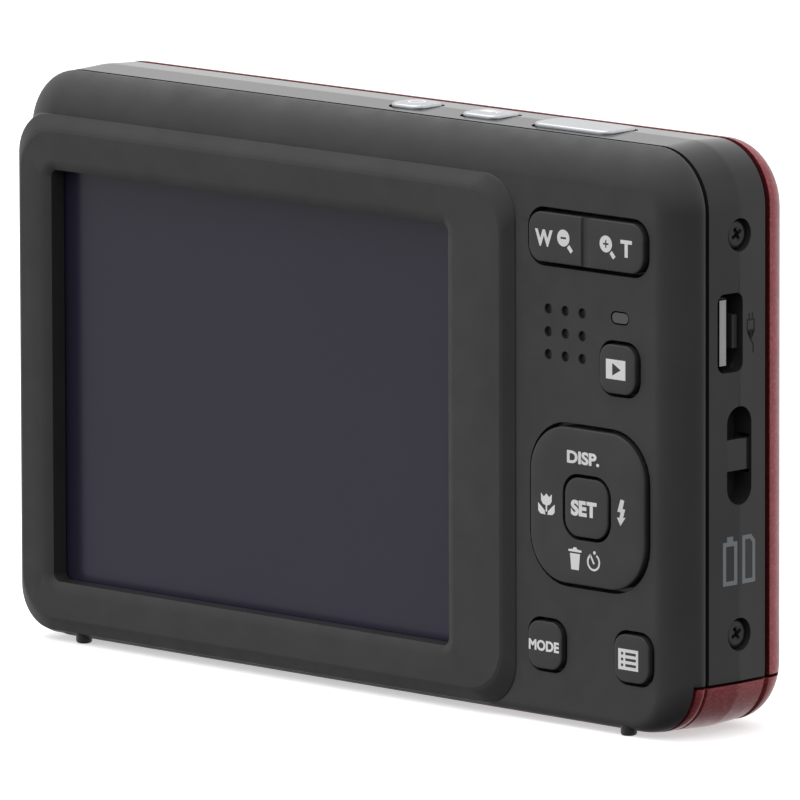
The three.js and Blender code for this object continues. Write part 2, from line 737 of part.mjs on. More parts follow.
function strapBar() {
  return slabX(BAR_SLOT, 0.5 - HALF_WIDTH, EYELET.depth - 0.9 - HALF_WIDTH);
}

// ---------------------------------------------------------------- inside the grip

function batteryBay() {
  const { left, right, back, front, bottom, top, wall } = BAY;
  const outside = box([left, front, bottom], [right, back, top]);
  const inside = box([left + wall, front + wall, bottom - 1], [right - wall, back - wall, top - wall]);
  return cut(outside, inside);
}

function battery() {
  const { left, right, back, front, bottom, top, wall } = BAY;
  const clear = wall + GAP;
  const cell = box([left + clear, front + clear, bottom + 0.2], [right - clear, back - clear, top - clear]);
  const contacts = [-3, 0, 3].map((x) => box([x - 20.8, -2.4, top - clear - 0.4], [x - 19.2, -0.4, top]));
  return cut(cell, ...contacts);
}

function batteryLock() {
  const hook = box([-22, 0.9, 3.9], [-18, 3.6, 4.9]);
  return cut(hook, box([-21.2, 2.6, 3.6], [-18.8, 3.0, 4.3]));
}

function memoryCard() {
  const [low, high] = [CARD.x - CARD.width / 2, CARD.x + CARD.width / 2];
  const [bottom, top] = [CARD.z - CARD.height / 2, CARD.z + CARD.height / 2];
  const card = box([low, CARD.front, bottom], [high, CARD.back, top]);
  const corner = solid(new THREE.CylinderGeometry(4, 4, 6, 4).translate(low, CARD.back - 1, top + 1.2));
  return cut(card, corner);
}

function cardSlot() {
  const [low, high] = [CARD.x - CARD.width / 2 - GAP, CARD.x + CARD.width / 2 + GAP];
  const [bottom, top] = [8, CARD.z + CARD.height / 2 + GAP];
  const tray = box([low - 0.4, CARD.front, bottom], [high + 0.4, CARD.back + GAP + 0.25, top + 0.4]);
  return cut(tray, box([low, CARD.front - 1, bottom - 1], [high, CARD.back + GAP, top]));
}

// The door is a piece of the body's skin that carries the groove lines on across it.
function batteryDoor() {
  const groove = 0.3;
  const backCurve = backEdge(8).filter(([y]) => y < DOOR.back + 0.6);
  const frontCurve = frontEdge(8).filter(([y]) => y > DOOR.front - 0.6);
  const grooved = [
    [FRONT_RIM, 0],
    [FRONT_RIM, groove],
    [FRAME_FRONT, groove],
    [FRAME_FRONT, 0],
    [FRAME_RIDGE, -RIDGE_HEIGHT],
    [FRAME_REAR, 0],
    [FRAME_REAR, groove],
    [BACK_RIM, groove],
  ];
  const skin = loft([
    ...frontCurve.reverse().map(([y, inset]) => bodySection(y, inset, FRONT_LOSS)),
    ...grooved.map(([y, inset]) => bodySection(y, inset)),
    ...[[BACK_RIM, 0], ...backCurve].map(backSection),
  ]);
  const hollow = bodyLoft([
    [DOOR.front - 0.7, DOOR_SKIN + 1.2],
    [FRONT_RIM - 0.6, DOOR_SKIN],
    [BACK_RIM + 0.6, DOOR_SKIN],
    [DOOR.back + 0.7, DOOR_SKIN + 0.9],
  ]);
  const [front, back, top] = [DOOR.front + GAP, DOOR.back - GAP, DOOR.top - GAP];
  const region = box([-HALF_WIDTH - 1, front, 0], [DOOR.edge - GAP, back, top]);
  const [low, high] = HINGE.knuckleSpan;
  const arm = box(
    [DOOR.edge - 0.6, low, DOOR.hingeZ - HINGE.knuckle],
    [DOOR.hingeX, high, DOOR.hingeZ + 0.45],
  );
  const knuckle = rod('y', HINGE.knuckle, low, high, [DOOR.hingeX, DOOR.hingeZ], 16);
  const pinHole = rod('y', HINGE.holeRadius, low - 1, high + 1, [DOOR.hingeX, DOOR.hingeZ], 12);
  return cut(union(skin.subtract(hollow).intersect(region), arm, knuckle), pinHole);
}

function hingePin() {
  const [front, back] = [HINGE.lugSpans[0][0], HINGE.lugSpans[1][1]];
  return rod('y', HINGE.pinRadius, front, back, [DOOR.hingeX, DOOR.hingeZ], 12);
}

// ---------------------------------------------------------------- boards, flash, speaker

function mainBoard() {
  const top = MAIN_BOARD.high[1];
  const chips = CHIPS.map(({ x, width, height }) =>
    slabY({ x, z: CHIP_Z, width, height, radius: 0.2 }, top - 0.1, top + 0.8, 0, 1));
  return union(box(MAIN_BOARD.low, MAIN_BOARD.high), ...chips);
}

// A trough with a rounded back, open to the front and at both ends.
function flashReflector() {
  const { x, z, width, height, reflectorY, reflectorFront } = FLASH;
  const [low, high] = [x - width / 2, x + width / 2];
  const trough = (half, from, to, front) => union(
    rod('x', half, from, to, [reflectorY, z], 20),
    box([from, front, z - half], [to, reflectorY, z + half]),
  );
  const half = height / 2;
  return cut(
    trough(half, low, high, reflectorFront),
    trough(half - 0.4, low - 1, high + 1, reflectorFront - 1),
    box([low - 1, reflectorFront - 5, z - half - 1], [high + 1, reflectorFront, z + half + 1]),
  );
}

function flashTube() {
  return rod('x', 0.9, FLASH.x - 5.4, FLASH.x + 5.4, [FLASH.tubeY, FLASH.z], 12);
}

function focusLamp() {
  return rod('y', FOCUS_LAMP.radius, FRONT_FACE - 0.05, -3.6, [FOCUS_LAMP.x, FOCUS_LAMP.z], 20);
}

function speaker() {
  const at = [SPEAKER.x, SPEAKER.z];
  return cut(rod('y', SPEAKER.radius, 6.6, 8.0, at, 28), cut(
    rod('y', SPEAKER.radius - 0.7, 7.7, 9, at, 28),
    rod('y', 1.6, 7.5, 10, at, 16),
  ));
}

function tripodBush() {
  const at = [BUSH.x, BUSH.y];
  return cut(
    rod('z', BUSH.radius, BODY_BOTTOM, BUSH.top, at, 24),
    rod('z', BUSH.bore, 0, BUSH.top - 0.8, at, 24),
  );
}

// ---------------------------------------------------------------- assembly

const camera = new THREE.Group();

function place(name, body, look, parent = camera) {
  const mesh = new THREE.Mesh(geometryOf(body), look);
  mesh.name = name;
  parent.add(mesh);
  return mesh;
}

place('back_cover', backCover(), MATTE_BLACK);
place('screen_window', slabY(PANE, PANE.back, PANE.face), SCREEN);
place('lcd_panel', box(PANEL.low, PANEL.high), GLOSS_BLACK);
place('display_plate', displayPlate(), STEEL);
place('mid_frame', midFrame(), GLOSS_BLACK);
place('front_cover', frontCover(), RED_METAL);

place('lens_trim_ring', lensTrimRing(), RED_METAL);
place('lens_housing', lensHousing(), GLOSS_BLACK);
place('outer_barrel', outerBarrel(), BARREL_GREY);
place('inner_barrel', innerBarrel(), BARREL_GREY);
place('lens_front_ring', lensFrontRing(), GLOSS_BLACK);
place('barrier_blade_upper', barrierBlade(1), DARK_STEEL);
place('barrier_blade_lower', barrierBlade(-1), DARK_STEEL);
place('front_lens', lensElement(8.6, -9.5, -7.2, 1.2), GLASS);
place('focus_lens_cell', ring(5.3, 8.0, -2.4, 1.7, 32), GLOSS_BLACK);
place('focus_lens', lensElement(5.0, -1.8, 0.6, 0.9), GLASS);
place('image_sensor', box([LENS.x - 4, 2.1, LENS.z - 3], [LENS.x + 4, 2.85, LENS.z + 3]), GLASS);
place('sensor_board', box([LENS.x - 11, 3.15, LENS.z - 9], [LENS.x + 11, 3.6, LENS.z + 9]), BOARD_GREEN);
place('zoom_motor', rod('x', 2.8, 20, 36, [-1.2, 49.6], 20), STEEL);

place('power_button', topButton(POWER), SILVER);
place('video_button', topButton(VIDEO), SILVER);
place('shutter_button', topButton(SHUTTER), SILVER);
place('zoom_rocker', zoomRocker(), BUTTON_BLACK);
place('play_button', backButton(PLAY), BUTTON_BLACK);
place('pad_ring', padRing(), BUTTON_BLACK);
place('pad_carrier', padCarrier(), PLASTIC_WHITE);
place('set_button', setButton(), BUTTON_BLACK);
place('mode_button', backButton(MODE), BUTTON_BLACK);
place('menu_button', backButton(MENU), BUTTON_BLACK);
place('status_lamp', slabY(LAMP, KEYPAD_BOARD.high[1] + 0.5, CONTROL_FACE - 0.05), PLASTIC_WHITE);
place('speaker', speaker(), DARK_STEEL);

place('usb_shell', usbShell(), STEEL);
place('usb_tongue', usbTongue(), GLOSS_BLACK);
place('strap_bar', strapBar(), GLOSS_BLACK);

for (const level of ['upper', 'lower']) {
  const grip = place(`side_screw_grip_${level}`, screw(), DARK_STEEL);
  grip.position.set(SCREW_DEPTH - HALF_WIDTH, FRAME_RIDGE, SCREW[level]);
  grip.rotation.z = Math.PI;
  const far = place(`side_screw_far_${level}`, screw(), DARK_STEEL);
  far.position.set(HALF_WIDTH - SCREW_DEPTH, FRAME_RIDGE, SCREW[level]);
}
BOTTOM_SCREWS.forEach((x, number) => {
  const mesh = place(`bottom_screw_${number + 1}`, screw(), DARK_STEEL);
  mesh.position.set(x, FRAME_RIDGE, BODY_BOTTOM + SCREW_DEPTH);
  mesh.rotation.y = Math.PI / 2;
});

place('battery_bay', batteryBay(), GLOSS_BLACK);
place('battery', battery(), BATTERY_GREY);
place('battery_lock', batteryLock(), ORANGE);
place('card_slot', cardSlot(), STEEL);
place('memory_card', memoryCard(), BATTERY_GREY);
place('battery_door', batteryDoor(), RED_METAL);
place('door_hinge_pin', hingePin(), STEEL);

place('main_board', mainBoard(), BOARD_GREEN);
place('keypad_board', box(KEYPAD_BOARD.low, KEYPAD_BOARD.high), BOARD_GREEN);
place('top_board', box(TOP_BOARD.low, TOP_BOARD.high), BOARD_GREEN);
place('flash_window', slabY(FLASH, FRONT_FACE - 0.05, FRONT_ROOF - 0.1), GLASS);
place('flash_reflector', flashReflector(), STEEL);
place('flash_tube', flashTube(), GLASS);
place('flash_capacitor', rod('z', 4.0, 12, 43, [37.6, -0.6], 24), GLOSS_BLACK);
place('focus_lamp', focusLamp(), ORANGE);
place('tripod_bush', tripodBush(), BRASS);

export default camera;
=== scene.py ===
"""The looks of the compact digital camera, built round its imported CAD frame.
Shapes are given in millimetres and scaled to metres as each mesh is made.
+Y is out of the screen, +Z is up."""
import math

import bmesh
import bpy
from mathutils import Matrix, Vector


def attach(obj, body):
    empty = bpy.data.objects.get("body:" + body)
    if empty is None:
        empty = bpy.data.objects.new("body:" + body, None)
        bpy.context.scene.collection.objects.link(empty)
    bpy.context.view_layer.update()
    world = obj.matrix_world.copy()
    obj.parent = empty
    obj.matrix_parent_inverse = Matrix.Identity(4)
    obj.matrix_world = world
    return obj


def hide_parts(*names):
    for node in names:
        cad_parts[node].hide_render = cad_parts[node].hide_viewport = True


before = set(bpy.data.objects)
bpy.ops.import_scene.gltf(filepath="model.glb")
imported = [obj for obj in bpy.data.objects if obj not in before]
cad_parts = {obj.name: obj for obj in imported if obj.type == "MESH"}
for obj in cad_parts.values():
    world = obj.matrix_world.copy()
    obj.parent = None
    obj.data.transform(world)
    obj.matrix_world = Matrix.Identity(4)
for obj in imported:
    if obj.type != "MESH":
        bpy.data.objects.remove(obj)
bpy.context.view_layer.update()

MM = 0.001

# ------------ dimensions, as in the CAD

HALF_WIDTH = 45.4
BODY_BOTTOM = 0.5
BODY_TOP = 56.75
TOP_RADIUS = 6.0
BOTTOM_RADIUS = 5.6
BACK_JOINT = 6.6
BACK_RIM = 6.85
CONTROL_FACE = 9.7
COVER_ROOF = 8.4
FRAME_REAR = 6.35
FRAME_RIDGE = 2.3
FRAME_FRONT = -1.4
FRONT_RIM = -2.05
FRONT_FACE = -6.45
FRONT_ROOF = -5.05
LENS_FRONT = -11.45
RIDGE_HEIGHT = 0.2
WALL = 1.5
LIP_INSET = 1.8
FRAME_INSET = 2.8
LIP_REACH = 1.2
BACK_EDGE = 4.0
BACK_EDGE_BOTTOM = 1.2
FRONT_EDGE = 6.0
FRONT_LOSS = 0.6
GAP = 0.3
BLOCK = dict(grip=-23.66, far=45.35, bottom=0.5, top=53.2, rise=0.85, radius=4.2)
BLOCK_SLOPE = dict(grip=1.9, far=1.3, bottom=1.9, top=2.15)
BLOCK_FACE = CONTROL_FACE + BLOCK["rise"]
WINDOW = dict(x=12.8, z=26.6, width=54.6, height=41.1, radius=0.8, bevel=1.1, bevel_depth=0.45)
ROCKER = dict(x=-32.8, z=47.2, width=15.1, height=4.8, radius=1.6, clear=0.45)
PLAY = dict(x=-36.93, z=35.4, width=4.7, height=4.7, radius=1.4, clear=0.36)
PAD = dict(x=-32.95, z=21.6, width=15.1, height=15.1, radius=4.6, clear=0.4)
SET = dict(x=-32.95, z=21.6, width=5.7, height=5.7, radius=1.7, clear=0.33)
MODE = dict(x=-27.3, z=7.68, width=4.5, height=4.6, radius=1.4, clear=0.36)
MENU = dict(x=-38.75, z=7.7, width=4.6, height=4.6, radius=1.4, clear=0.36)
LAMP = dict(x=-36.9, z=40.3, width=2.1, height=1.0, radius=0.49)
SPEAKER = dict(x=-29.7, z=38.06, pitch_x=2.24, pitch_z=2.2, hole=0.5)
BUTTON_PROUD = 0.45
TOP_BUTTON_Z = 57.25
TOP_BUTTON_Y = 3.0
POWER = dict(x=-3.4, width=4.4, depth=4.0, radius=1.3)
VIDEO = dict(x=-13.4, width=4.8, depth=4.0, radius=1.0)
SHUTTER = dict(x=-25.9, width=10.2, depth=4.7, radius=1.2)
SCREW_HOLE = 1.6
SCREW_RECESS = 1.3
SCREW_LEVELS = (48.4, 9.95)
BOTTOM_SCREWS = (-6.0, 36.0)
USB = dict(y=3.57, z=39.1, width=3.36, height=7.6, radius=0.9)
EYELET = dict(y=FRAME_RIDGE, z=27.2, width=3.4, height=9.5, radius=1.69, depth=2.2)
BAR = dict(y=FRAME_RIDGE, z=27.2, width=4.8, height=3.1, radius=0.4)
FOOT = dict(x=37.2, rear_y=8.8, front_x=-9.6, front_y=-3.2, radius=0.8)
LENS = (9.0, 27.5)
LENS_HOLE = 18.9
FLASH = dict(x=-22, z=46.6, width=12, height=6.6, radius=1.6)
FOCUS_LAMP = dict(x=-12.6, z=49.0, radius=1.6)
DOOR = dict(hinge_x=-13.2, hinge_z=1.5, edge=-14.1, top=5.45, back=7.95, front=-4.3)
DOOR_SKIN = 1.3
KNUCKLE = 0.95
HINGE_HOLE = 0.5
LUG = 0.8
LUG_SPANS = ((-1.2, -0.3), (5.3, 6.2))
KNUCKLE_SPAN = (0.0, 5.0)
BUSH = dict(x=9.0, y=2.3, radius=2.9)
DISPLAY_POCKET = ((-15.3, 4.8, 4.0), (41.9, COVER_ROOF, 49.2))
SCREW_SHAFT = 0.9
STEM = 0.8
BARREL_WALL = 1.6
POSTS = ((-2.5, 28.75), (20.5, 26.25))
LEGEND_THICKNESS = 0.02

CORNER = 14
SHARP = math.radians(32)

scene = bpy.context.scene

# ------------ meshes


def bake(obj):
    """Applies obj's modifiers."""
    graph = bpy.context.evaluated_depsgraph_get()
    mesh = bpy.data.meshes.new_from_object(obj.evaluated_get(graph))
    obj.modifiers.clear()
    old = obj.data
    obj.data = mesh
    bpy.data.meshes.remove(old)
    return obj


def raw(name, verts, faces):
    """A closed mesh from millimetre points, with its faces turned outwards."""
    mesh = bpy.data.meshes.new(name)
    mesh.from_pydata([tuple(c * MM for c in v) for v in verts], [], faces)
    bm = bmesh.new()
    bm.from_mesh(mesh)
    bmesh.ops.remove_doubles(bm, verts=bm.verts, dist=1e-7)
    bmesh.ops.recalc_face_normals(bm, faces=bm.faces)
    bm.to_mesh(mesh)
    bm.free()
    obj = bpy.data.objects.new(name, mesh)
    scene.collection.objects.link(obj)
    return obj


def outline(left, right, bottom, top, top_radius, bottom_radius, steps=CORNER):
    """Points round a rectangle with rounded corners, anticlockwise in its plane."""
    corners = (
        (right - top_radius, top - top_radius, top_radius, 0),
        (left + top_radius, top - top_radius, top_radius, 1),
        (left + bottom_radius, bottom + bottom_radius, bottom_radius, 2),
        (right - bottom_radius, bottom + bottom_radius, bottom_radius, 3),
    )
    points = []
    for a, b, radius, quarter in corners:
        for step in range(steps + 1):
            angle = (quarter + step / steps) * math.pi / 2
            points.append((a + radius * math.cos(angle), b + radius * math.sin(angle)))
    return points


def loft(name, sections, axis="y"):
    """A closed loft through sections (level, points), level being the coordinate on axis."""
    place = {
        "y": lambda level, a, b: (a, level, b),
        "z": lambda level, a, b: (a, b, level),
        "x": lambda level, a, b: (level, a, b),
    }[axis]
    count = len(sections[0][1])
    verts = [place(level, a, b) for level, points in sections for a, b in points]
    faces = [tuple(range(count)), tuple(range((len(sections) - 1) * count, len(sections) * count))]
    for row in range(len(sections) - 1):
        for i in range(count):
            a, b = row * count + i, row * count + (i + 1) % count
            faces.append((a, b, b + count, a + count))
    return raw(name, verts, faces)


def rounded(spec, grow=0.0, steps=8):
    """The outline of a button-like rounded rectangle in the XZ plane, grown by `grow`."""
    half_w, half_h = spec["width"] / 2 + grow, spec["height"] / 2 + grow
    radius = max(min(spec["radius"] + grow, half_w - 0.01, half_h - 0.01), 0.02)
    return outline(
        spec["x"] - half_w, spec["x"] + half_w, spec["z"] - half_h, spec["z"] + half_h, radius, radius, steps
    )


def rounded_top(spec, grow=0.0, steps=8):
    """The same for a button on the top, in the XY plane."""
    return rounded(dict(spec, z=TOP_BUTTON_Y, height=spec["depth"]), grow, steps)


def rounded_side(spec, grow=0.0, steps=8):
    """The same for a fitting on the side, in the YZ plane."""
    return rounded(dict(spec, x=spec["y"]), grow, steps)


def circle(a, b, radius, segments=32):
    turns = [i / segments * 2 * math.pi for i in range(segments)]
    return [(a + radius * math.cos(t), b + radius * math.sin(t)) for t in turns]


def prism(name, points, low, high, axis="y"):
    """A straight bar with one outline, between two levels on axis."""
    return loft(name, [(low, points), (high, points)], axis)


def rod(name, axis, radius, low, high, at, segments=32):
    return prism(name, circle(at[0], at[1], radius, segments), low, high, axis)


def box(name, low, high):
    points = [(low[0], low[2]), (high[0], low[2]), (high[0], high[2]), (low[0], high[2])]
    return prism(name, points, low[1], high[1])


def turned(name, profile, segments=160):
    """A closed body of revolution about the lens axis, from (radius, y) points round its section."""
    verts, faces = [], []
    count = len(profile)
    for i in range(segments):
        angle = i / segments * 2 * math.pi
        for radius, y in profile:
            verts.append((LENS[0] + radius * math.cos(angle), y, LENS[1] + radius * math.sin(angle)))
    for i in range(segments):
        for j in range(count):
            a, b = i * count + j, i * count + (j + 1) % count
            c, d = ((i + 1) % segments) * count + (j + 1) % count, ((i + 1) % segments) * count + j
            faces.append((a, b, c, d))
    return raw(name, verts, faces)


def joined(name, objects):
    """One mesh object that holds several that don't touch."""
    bm = bmesh.new()
    for obj in objects:
        bm.from_mesh(obj.data)
        bpy.data.objects.remove(obj)
    mesh = bpy.data.meshes.new(name)
    bm.to_mesh(mesh)
    bm.free()
    out = bpy.data.objects.new(name, mesh)
    scene.collection.objects.link(out)
    return out


def combine(obj, other, operation):
    modifier = obj.modifiers.new("combine", "BOOLEAN")
    modifier.operation = operation
    modifier.solver = "EXACT"
    modifier.object = other
    bake(obj)
    bpy.data.objects.remove(other)
    return obj


def cut(obj, *tools):
    for tool in tools:
        combine(obj, tool, "DIFFERENCE")
    return obj


def union(obj, *others):
    for other in others:
        combine(obj, other, "UNION")
    return obj


def soften(obj, width):
    """Rounds the sharp edges a little and evens out the shading of the flats."""
    bm = bmesh.new()
    bm.from_mesh(obj.data)
    bmesh.ops.remove_doubles(bm, verts=bm.verts, dist=2e-6)
    bmesh.ops.dissolve_degenerate(bm, edges=bm.edges, dist=1e-6)
    bm.to_mesh(obj.data)
    bm.free()
    if width:
        bevel = obj.modifiers.new("bevel", "BEVEL")
        bevel.width = width * MM
        bevel.segments = 2
        bevel.limit_method = "ANGLE"
        bevel.angle_limit = SHARP
        bevel.use_clamp_overlap = True
        bevel.miter_outer = "MITER_ARC"
        bake(obj)
    obj.data.shade_smooth()
    obj.data.set_sharp_from_angle(angle=math.radians(50))
    weighted = obj.modifiers.new("normals", "WEIGHTED_NORMAL")
    weighted.mode = "FACE_AREA"
    weighted.keep_sharp = True
    return bake(obj)


def show(obj, material, body, slot, *nodes):
    """Gives a finished piece its material, the body it moves with and the CAD nodes it stands for."""
    obj.data.materials.clear()
    obj.data.materials.append(material)
    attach(obj, body)
    if nodes:
        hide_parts(*nodes)
    return obj


# ------------ materials


class Nodes:
    """A material's node tree, with short calls for what these finishes use."""

    def __init__(self, name):
        self.material = bpy.data.materials.new(name)
        self.material.use_nodes = True
        self.tree = self.material.node_tree
        self.shader = self.tree.nodes["Principled BSDF"]
        self.coordinates = self.tree.nodes.new("ShaderNodeTexCoord").outputs["Object"]

    def node(self, kind, links=(), **values):
        made = self.tree.nodes.new(kind)
        for key, value in values.items():
            if hasattr(made, key):
                setattr(made, key, value)
            else:
                made.inputs[key.replace("_", " ")].default_value = value
        for socket, source in dict(links).items():
            self.tree.links.new(source, made.inputs[socket])
        return made

    def stretched(self, scale):
        return self.node("ShaderNodeMapping", {"Vector": self.coordinates}, Scale=scale).outputs["Vector"]

    def noise(self, scale, detail=3.0, roughness=0.55, vector=None):
        """Noise whose features are about 1/scale metres across."""
        links = {"Vector": vector or self.coordinates}
        values = dict(Scale=scale, Detail=detail, Roughness=roughness)
        return self.node("ShaderNodeTexNoise", links, **values).outputs["Fac"]

    def ramp(self, source, *stops):
        """A colour ramp through (position, colour) stops."""
        made = self.node("ShaderNodeValToRGB", {"Fac": source})
        elements = made.color_ramp.elements
        while len(elements) < len(stops):
            elements.new(0.5)
        for element, (position, colour) in zip(elements, stops):
            element.position = position
            element.color = (*colour, 1)
        return made.outputs["Color"]

    def spread(self, source, low, high, start=0.3, end=0.7):
        """Maps start..end of the source onto low..high."""
        limits = dict(From_Min=start, From_Max=end, To_Min=low, To_Max=high)
        return self.node("ShaderNodeMapRange", {"Value": source}, **limits).outputs["Result"]

    def bump(self, source, strength, distance=0.00002):
        made = self.node("ShaderNodeBump", {"Height": source}, Strength=strength, Distance=distance)
        return made.outputs["Normal"]

    def to(self, **sources):
        for key, value in sources.items():
            socket = self.shader.inputs[key.replace("_", " ")]
            if isinstance(value, bpy.types.NodeSocket):
                self.tree.links.new(value, socket)
            else:
                socket.default_value = value
        return self.material


def shade(colour, factor):
    return tuple(min(c * factor, 1) for c in colour)


def moulded(name, colour, roughness, grain=0.35, scale=9000.0):
    """Spark-eroded plastic: a fine even grain, with faint cloudiness and a few polished spots."""
    m = Nodes(name)
    return m.to(
        Base_Color=m.ramp(m.noise(130.0), (0.3, shade(colour, 0.9)), (0.7, shade(colour, 1.12))),
        Roughness=m.spread(m.noise(420.0, 5.0), roughness - 0.05, roughness + 0.06),
        Normal=m.bump(m.noise(scale, 4.0, 0.6), grain),
    )


def polished(name, colour, roughness=0.08, specular=0.5):
    """Glossy moulded plastic: a slight waviness, dust-fine wear in the gloss and a faint cloudiness."""
    m = Nodes(name)
    scratches = m.noise(1400.0, 6.0, 0.7, m.stretched((1.0, 1.0, 0.06)))
    return m.to(
        Base_Color=m.ramp(m.noise(90.0), (0.3, shade(colour, 0.85)), (0.7, shade(colour, 1.15))),
        Roughness=m.spread(scratches, roughness, roughness + 0.06, 0.45, 0.8),
        Normal=m.bump(m.noise(260.0, 1.0), 0.05, 0.00005),
        Specular_IOR_Level=specular,
    )


def lacquer(name, colour):
    """Metallic lacquer: fine flakes under a clear coat, the lightest of them with a painted glint in their
    colour.
    """
    m = Nodes(name)
    cells = m.node("ShaderNodeTexVoronoi", {"Vector": m.coordinates}, Scale=5200.0)
    # painted glint: the lightest flakes get a brighter base colour that stands in for their sparkle
    painted_glint = tuple(c * 1.5 + 0.01 for c in colour)
    return m.to(
        Base_Color=m.ramp(cells.outputs["Color"], (0.0, shade(colour, 0.72)), (0.55, colour), (1.0, painted_glint)),
        Metallic=0.55,
        Roughness=m.spread(m.noise(700.0, 4.0), 0.34, 0.44),
        Normal=m.bump(m.noise(3800.0, 2.0), 0.04, 0.00003),
        Coat_Weight=0.3,
        Coat_Roughness=0.09,
    )


def metal(name, colour, roughness, stretch=(1.0, 1.0, 1.0), grain=0.15, metallic=1.0):
    """Metal with a fine directional grain; stretch is small along the grain."""
    m = Nodes(name)
    lines = m.noise(2600.0, 6.0, 0.7, m.stretched(stretch))
    return m.to(
        Base_Color=m.ramp(lines, (0.35, shade(colour, 0.88)), (0.65, shade(colour, 1.08))),
        Metallic=metallic,
        Roughness=m.spread(lines, roughness - 0.05, roughness + 0.08),
        Normal=m.bump(lines, grain),
    )


def spun(name, colour, roughness, metallic=1.0):
    """Turned metal: rings about the lens axis."""
    m = Nodes(name)
    place = (-LENS[0] * MM, 0, -LENS[1] * MM)
    moved = m.node("ShaderNodeMapping", {"Vector": m.coordinates}, Location=place).outputs["Vector"]
    apart = m.node("ShaderNodeSeparateXYZ", {"Vector": moved})
    flat = m.node("ShaderNodeCombineXYZ", {"X": apart.outputs["X"], "Y": apart.outputs["Z"]})
    radius = m.node("ShaderNodeVectorMath", {0: flat.outputs["Vector"]}, operation="LENGTH")
    rings = m.node("ShaderNodeCombineXYZ", {"X": radius.outputs["Value"], "Y": apart.outputs["Y"]})
    lines = m.noise(6000.0, 4.0, 0.75, rings.outputs["Vector"])
    return m.to(
        Base_Color=m.ramp(lines, (0.3, shade(colour, 0.85)), (0.7, shade(colour, 1.12))),
        Metallic=metallic,
        Roughness=m.spread(lines, roughness - 0.04, roughness + 0.08),
        Normal=m.bump(lines, 0.25),
    )


def clear(name, colour):
    """Clear glass or plastic with faint smears in its polish."""
    m = Nodes(name)
    return m.to(
        Base_Color=(*colour, 1),
        Roughness=m.spread(m.noise(300.0, 4.0), 0.03, 0.06),
        Transmission_Weight=1.0,
        IOR=1.5,
    )


def board(name):
    """Green solder mask over copper tracks."""
    m = Nodes(name)
    flat = m.node("ShaderNodeMapping", {"Vector": m.coordinates}, Rotation=(math.pi / 2, 0, 0))
    tracks = m.node("ShaderNodeTexBrick", {"Vector": flat.outputs["Vector"]}, Scale=420.0, Mortar_Size=0.012)
    tracks.inputs["Color1"].default_value = (0.012, 0.09, 0.042, 1)
    tracks.inputs["Color2"].default_value = (0.02, 0.12, 0.06, 1)
    tracks.inputs["Mortar"].default_value = (0.05, 0.2, 0.09, 1)
    return m.to(
        Base_Color=tracks.outputs["Color"],
        Roughness=m.spread(m.noise(900.0), 0.3, 0.42),
        Normal=m.bump(tracks.outputs["Fac"], 0.3, 0.00003),
    )


def display(name):
    """The dark, faintly violet face of a switched-off display behind its window."""
    m = Nodes(name)
    low, high = (0.0262, 0.0228, 0.043), (0.0292, 0.0254, 0.048)
    return m.to(
        Base_Color=m.ramp(m.noise(40.0, 2.0), (0.2, low), (0.8, high)),
        Roughness=m.spread(m.noise(700.0, 5.0), 0.22, 0.27),
        Specular_IOR_Level=0.3,
        Normal=m.bump(m.noise(5000.0, 2.0), 0.05, 0.00001),
    )


MATTE = moulded("matte_black", (0.026, 0.026, 0.0265), 0.5, grain=0.4)
BUTTON = moulded("button_black", (0.027, 0.027, 0.0275), 0.46, grain=0.22, scale=11000.0)
GLOSS = polished("gloss_black", (0.025, 0.025, 0.0258), 0.1, specular=0.27)
INNER = moulded("inner_black", (0.02, 0.02, 0.02), 0.6)
DISPLAY = display("screen")
RED = lacquer("red_metal", (0.25, 0.034, 0.042))
SILVER = metal("silver", (0.53, 0.54, 0.56), 0.3, stretch=(0.05, 1.0, 1.0), grain=0.08)
BARREL = spun("barrel_grey", (0.27, 0.27, 0.28), 0.32)
TRIM = spun("trim_red", (0.3, 0.045, 0.05), 0.25, metallic=0.8)
DARK_STEEL = metal("dark_steel", (0.028, 0.028, 0.03), 0.34, metallic=0.6)
BLADE = spun("blade_steel", (0.035, 0.035, 0.037), 0.3)
STEEL = metal("steel", (0.30, 0.30, 0.305), 0.32, stretch=(1.0, 1.0, 0.1))
GLASS = clear("glass", (0.86, 0.9, 0.94))
GREEN = board("board_green")
WHITE = moulded("white_plastic", (0.42, 0.42, 0.41), 0.45)
BATTERY = moulded("battery_grey", (0.07, 0.074, 0.08), 0.5)
ORANGE = polished("orange", (0.6, 0.2, 0.04), 0.2)
BRASS = metal("brass", (0.55, 0.4, 0.16), 0.3)
LEGEND = moulded("legend_white", (0.88, 0.88, 0.89), 0.55, grain=0.1)
LEGEND_DIM = moulded("legend_dim", (0.16, 0.175, 0.185), 0.5, grain=0.1)
LEGEND_ETCHED = moulded("legend_etched", (0.006, 0.006, 0.006), 0.8, grain=0.1)
LAMP_LENS = polished("lamp_lens", (0.075, 0.075, 0.078), 0.3)

# ------------ shell sections


def body_section(y, inset, loss=1.0, bottom_inset=None):
    """The body's outline at y, moved in by inset."""
    bottom = inset if bottom_inset is None else bottom_inset
    return (
        y,
        outline(
            inset - HALF_WIDTH,
            HALF_WIDTH - inset,
            BODY_BOTTOM + bottom,
            BODY_TOP - inset,
            TOP_RADIUS - loss * inset,
            BOTTOM_RADIUS - loss * (inset + bottom) / 2,
        ),
    )


def back_section(y, inset):
    """A section of the back cover, whose bottom edge turns in late and by less than the other three."""
    return body_section(y, inset, 1.0, BACK_EDGE_BOTTOM * (max(inset, 0) / BACK_EDGE) ** 3)


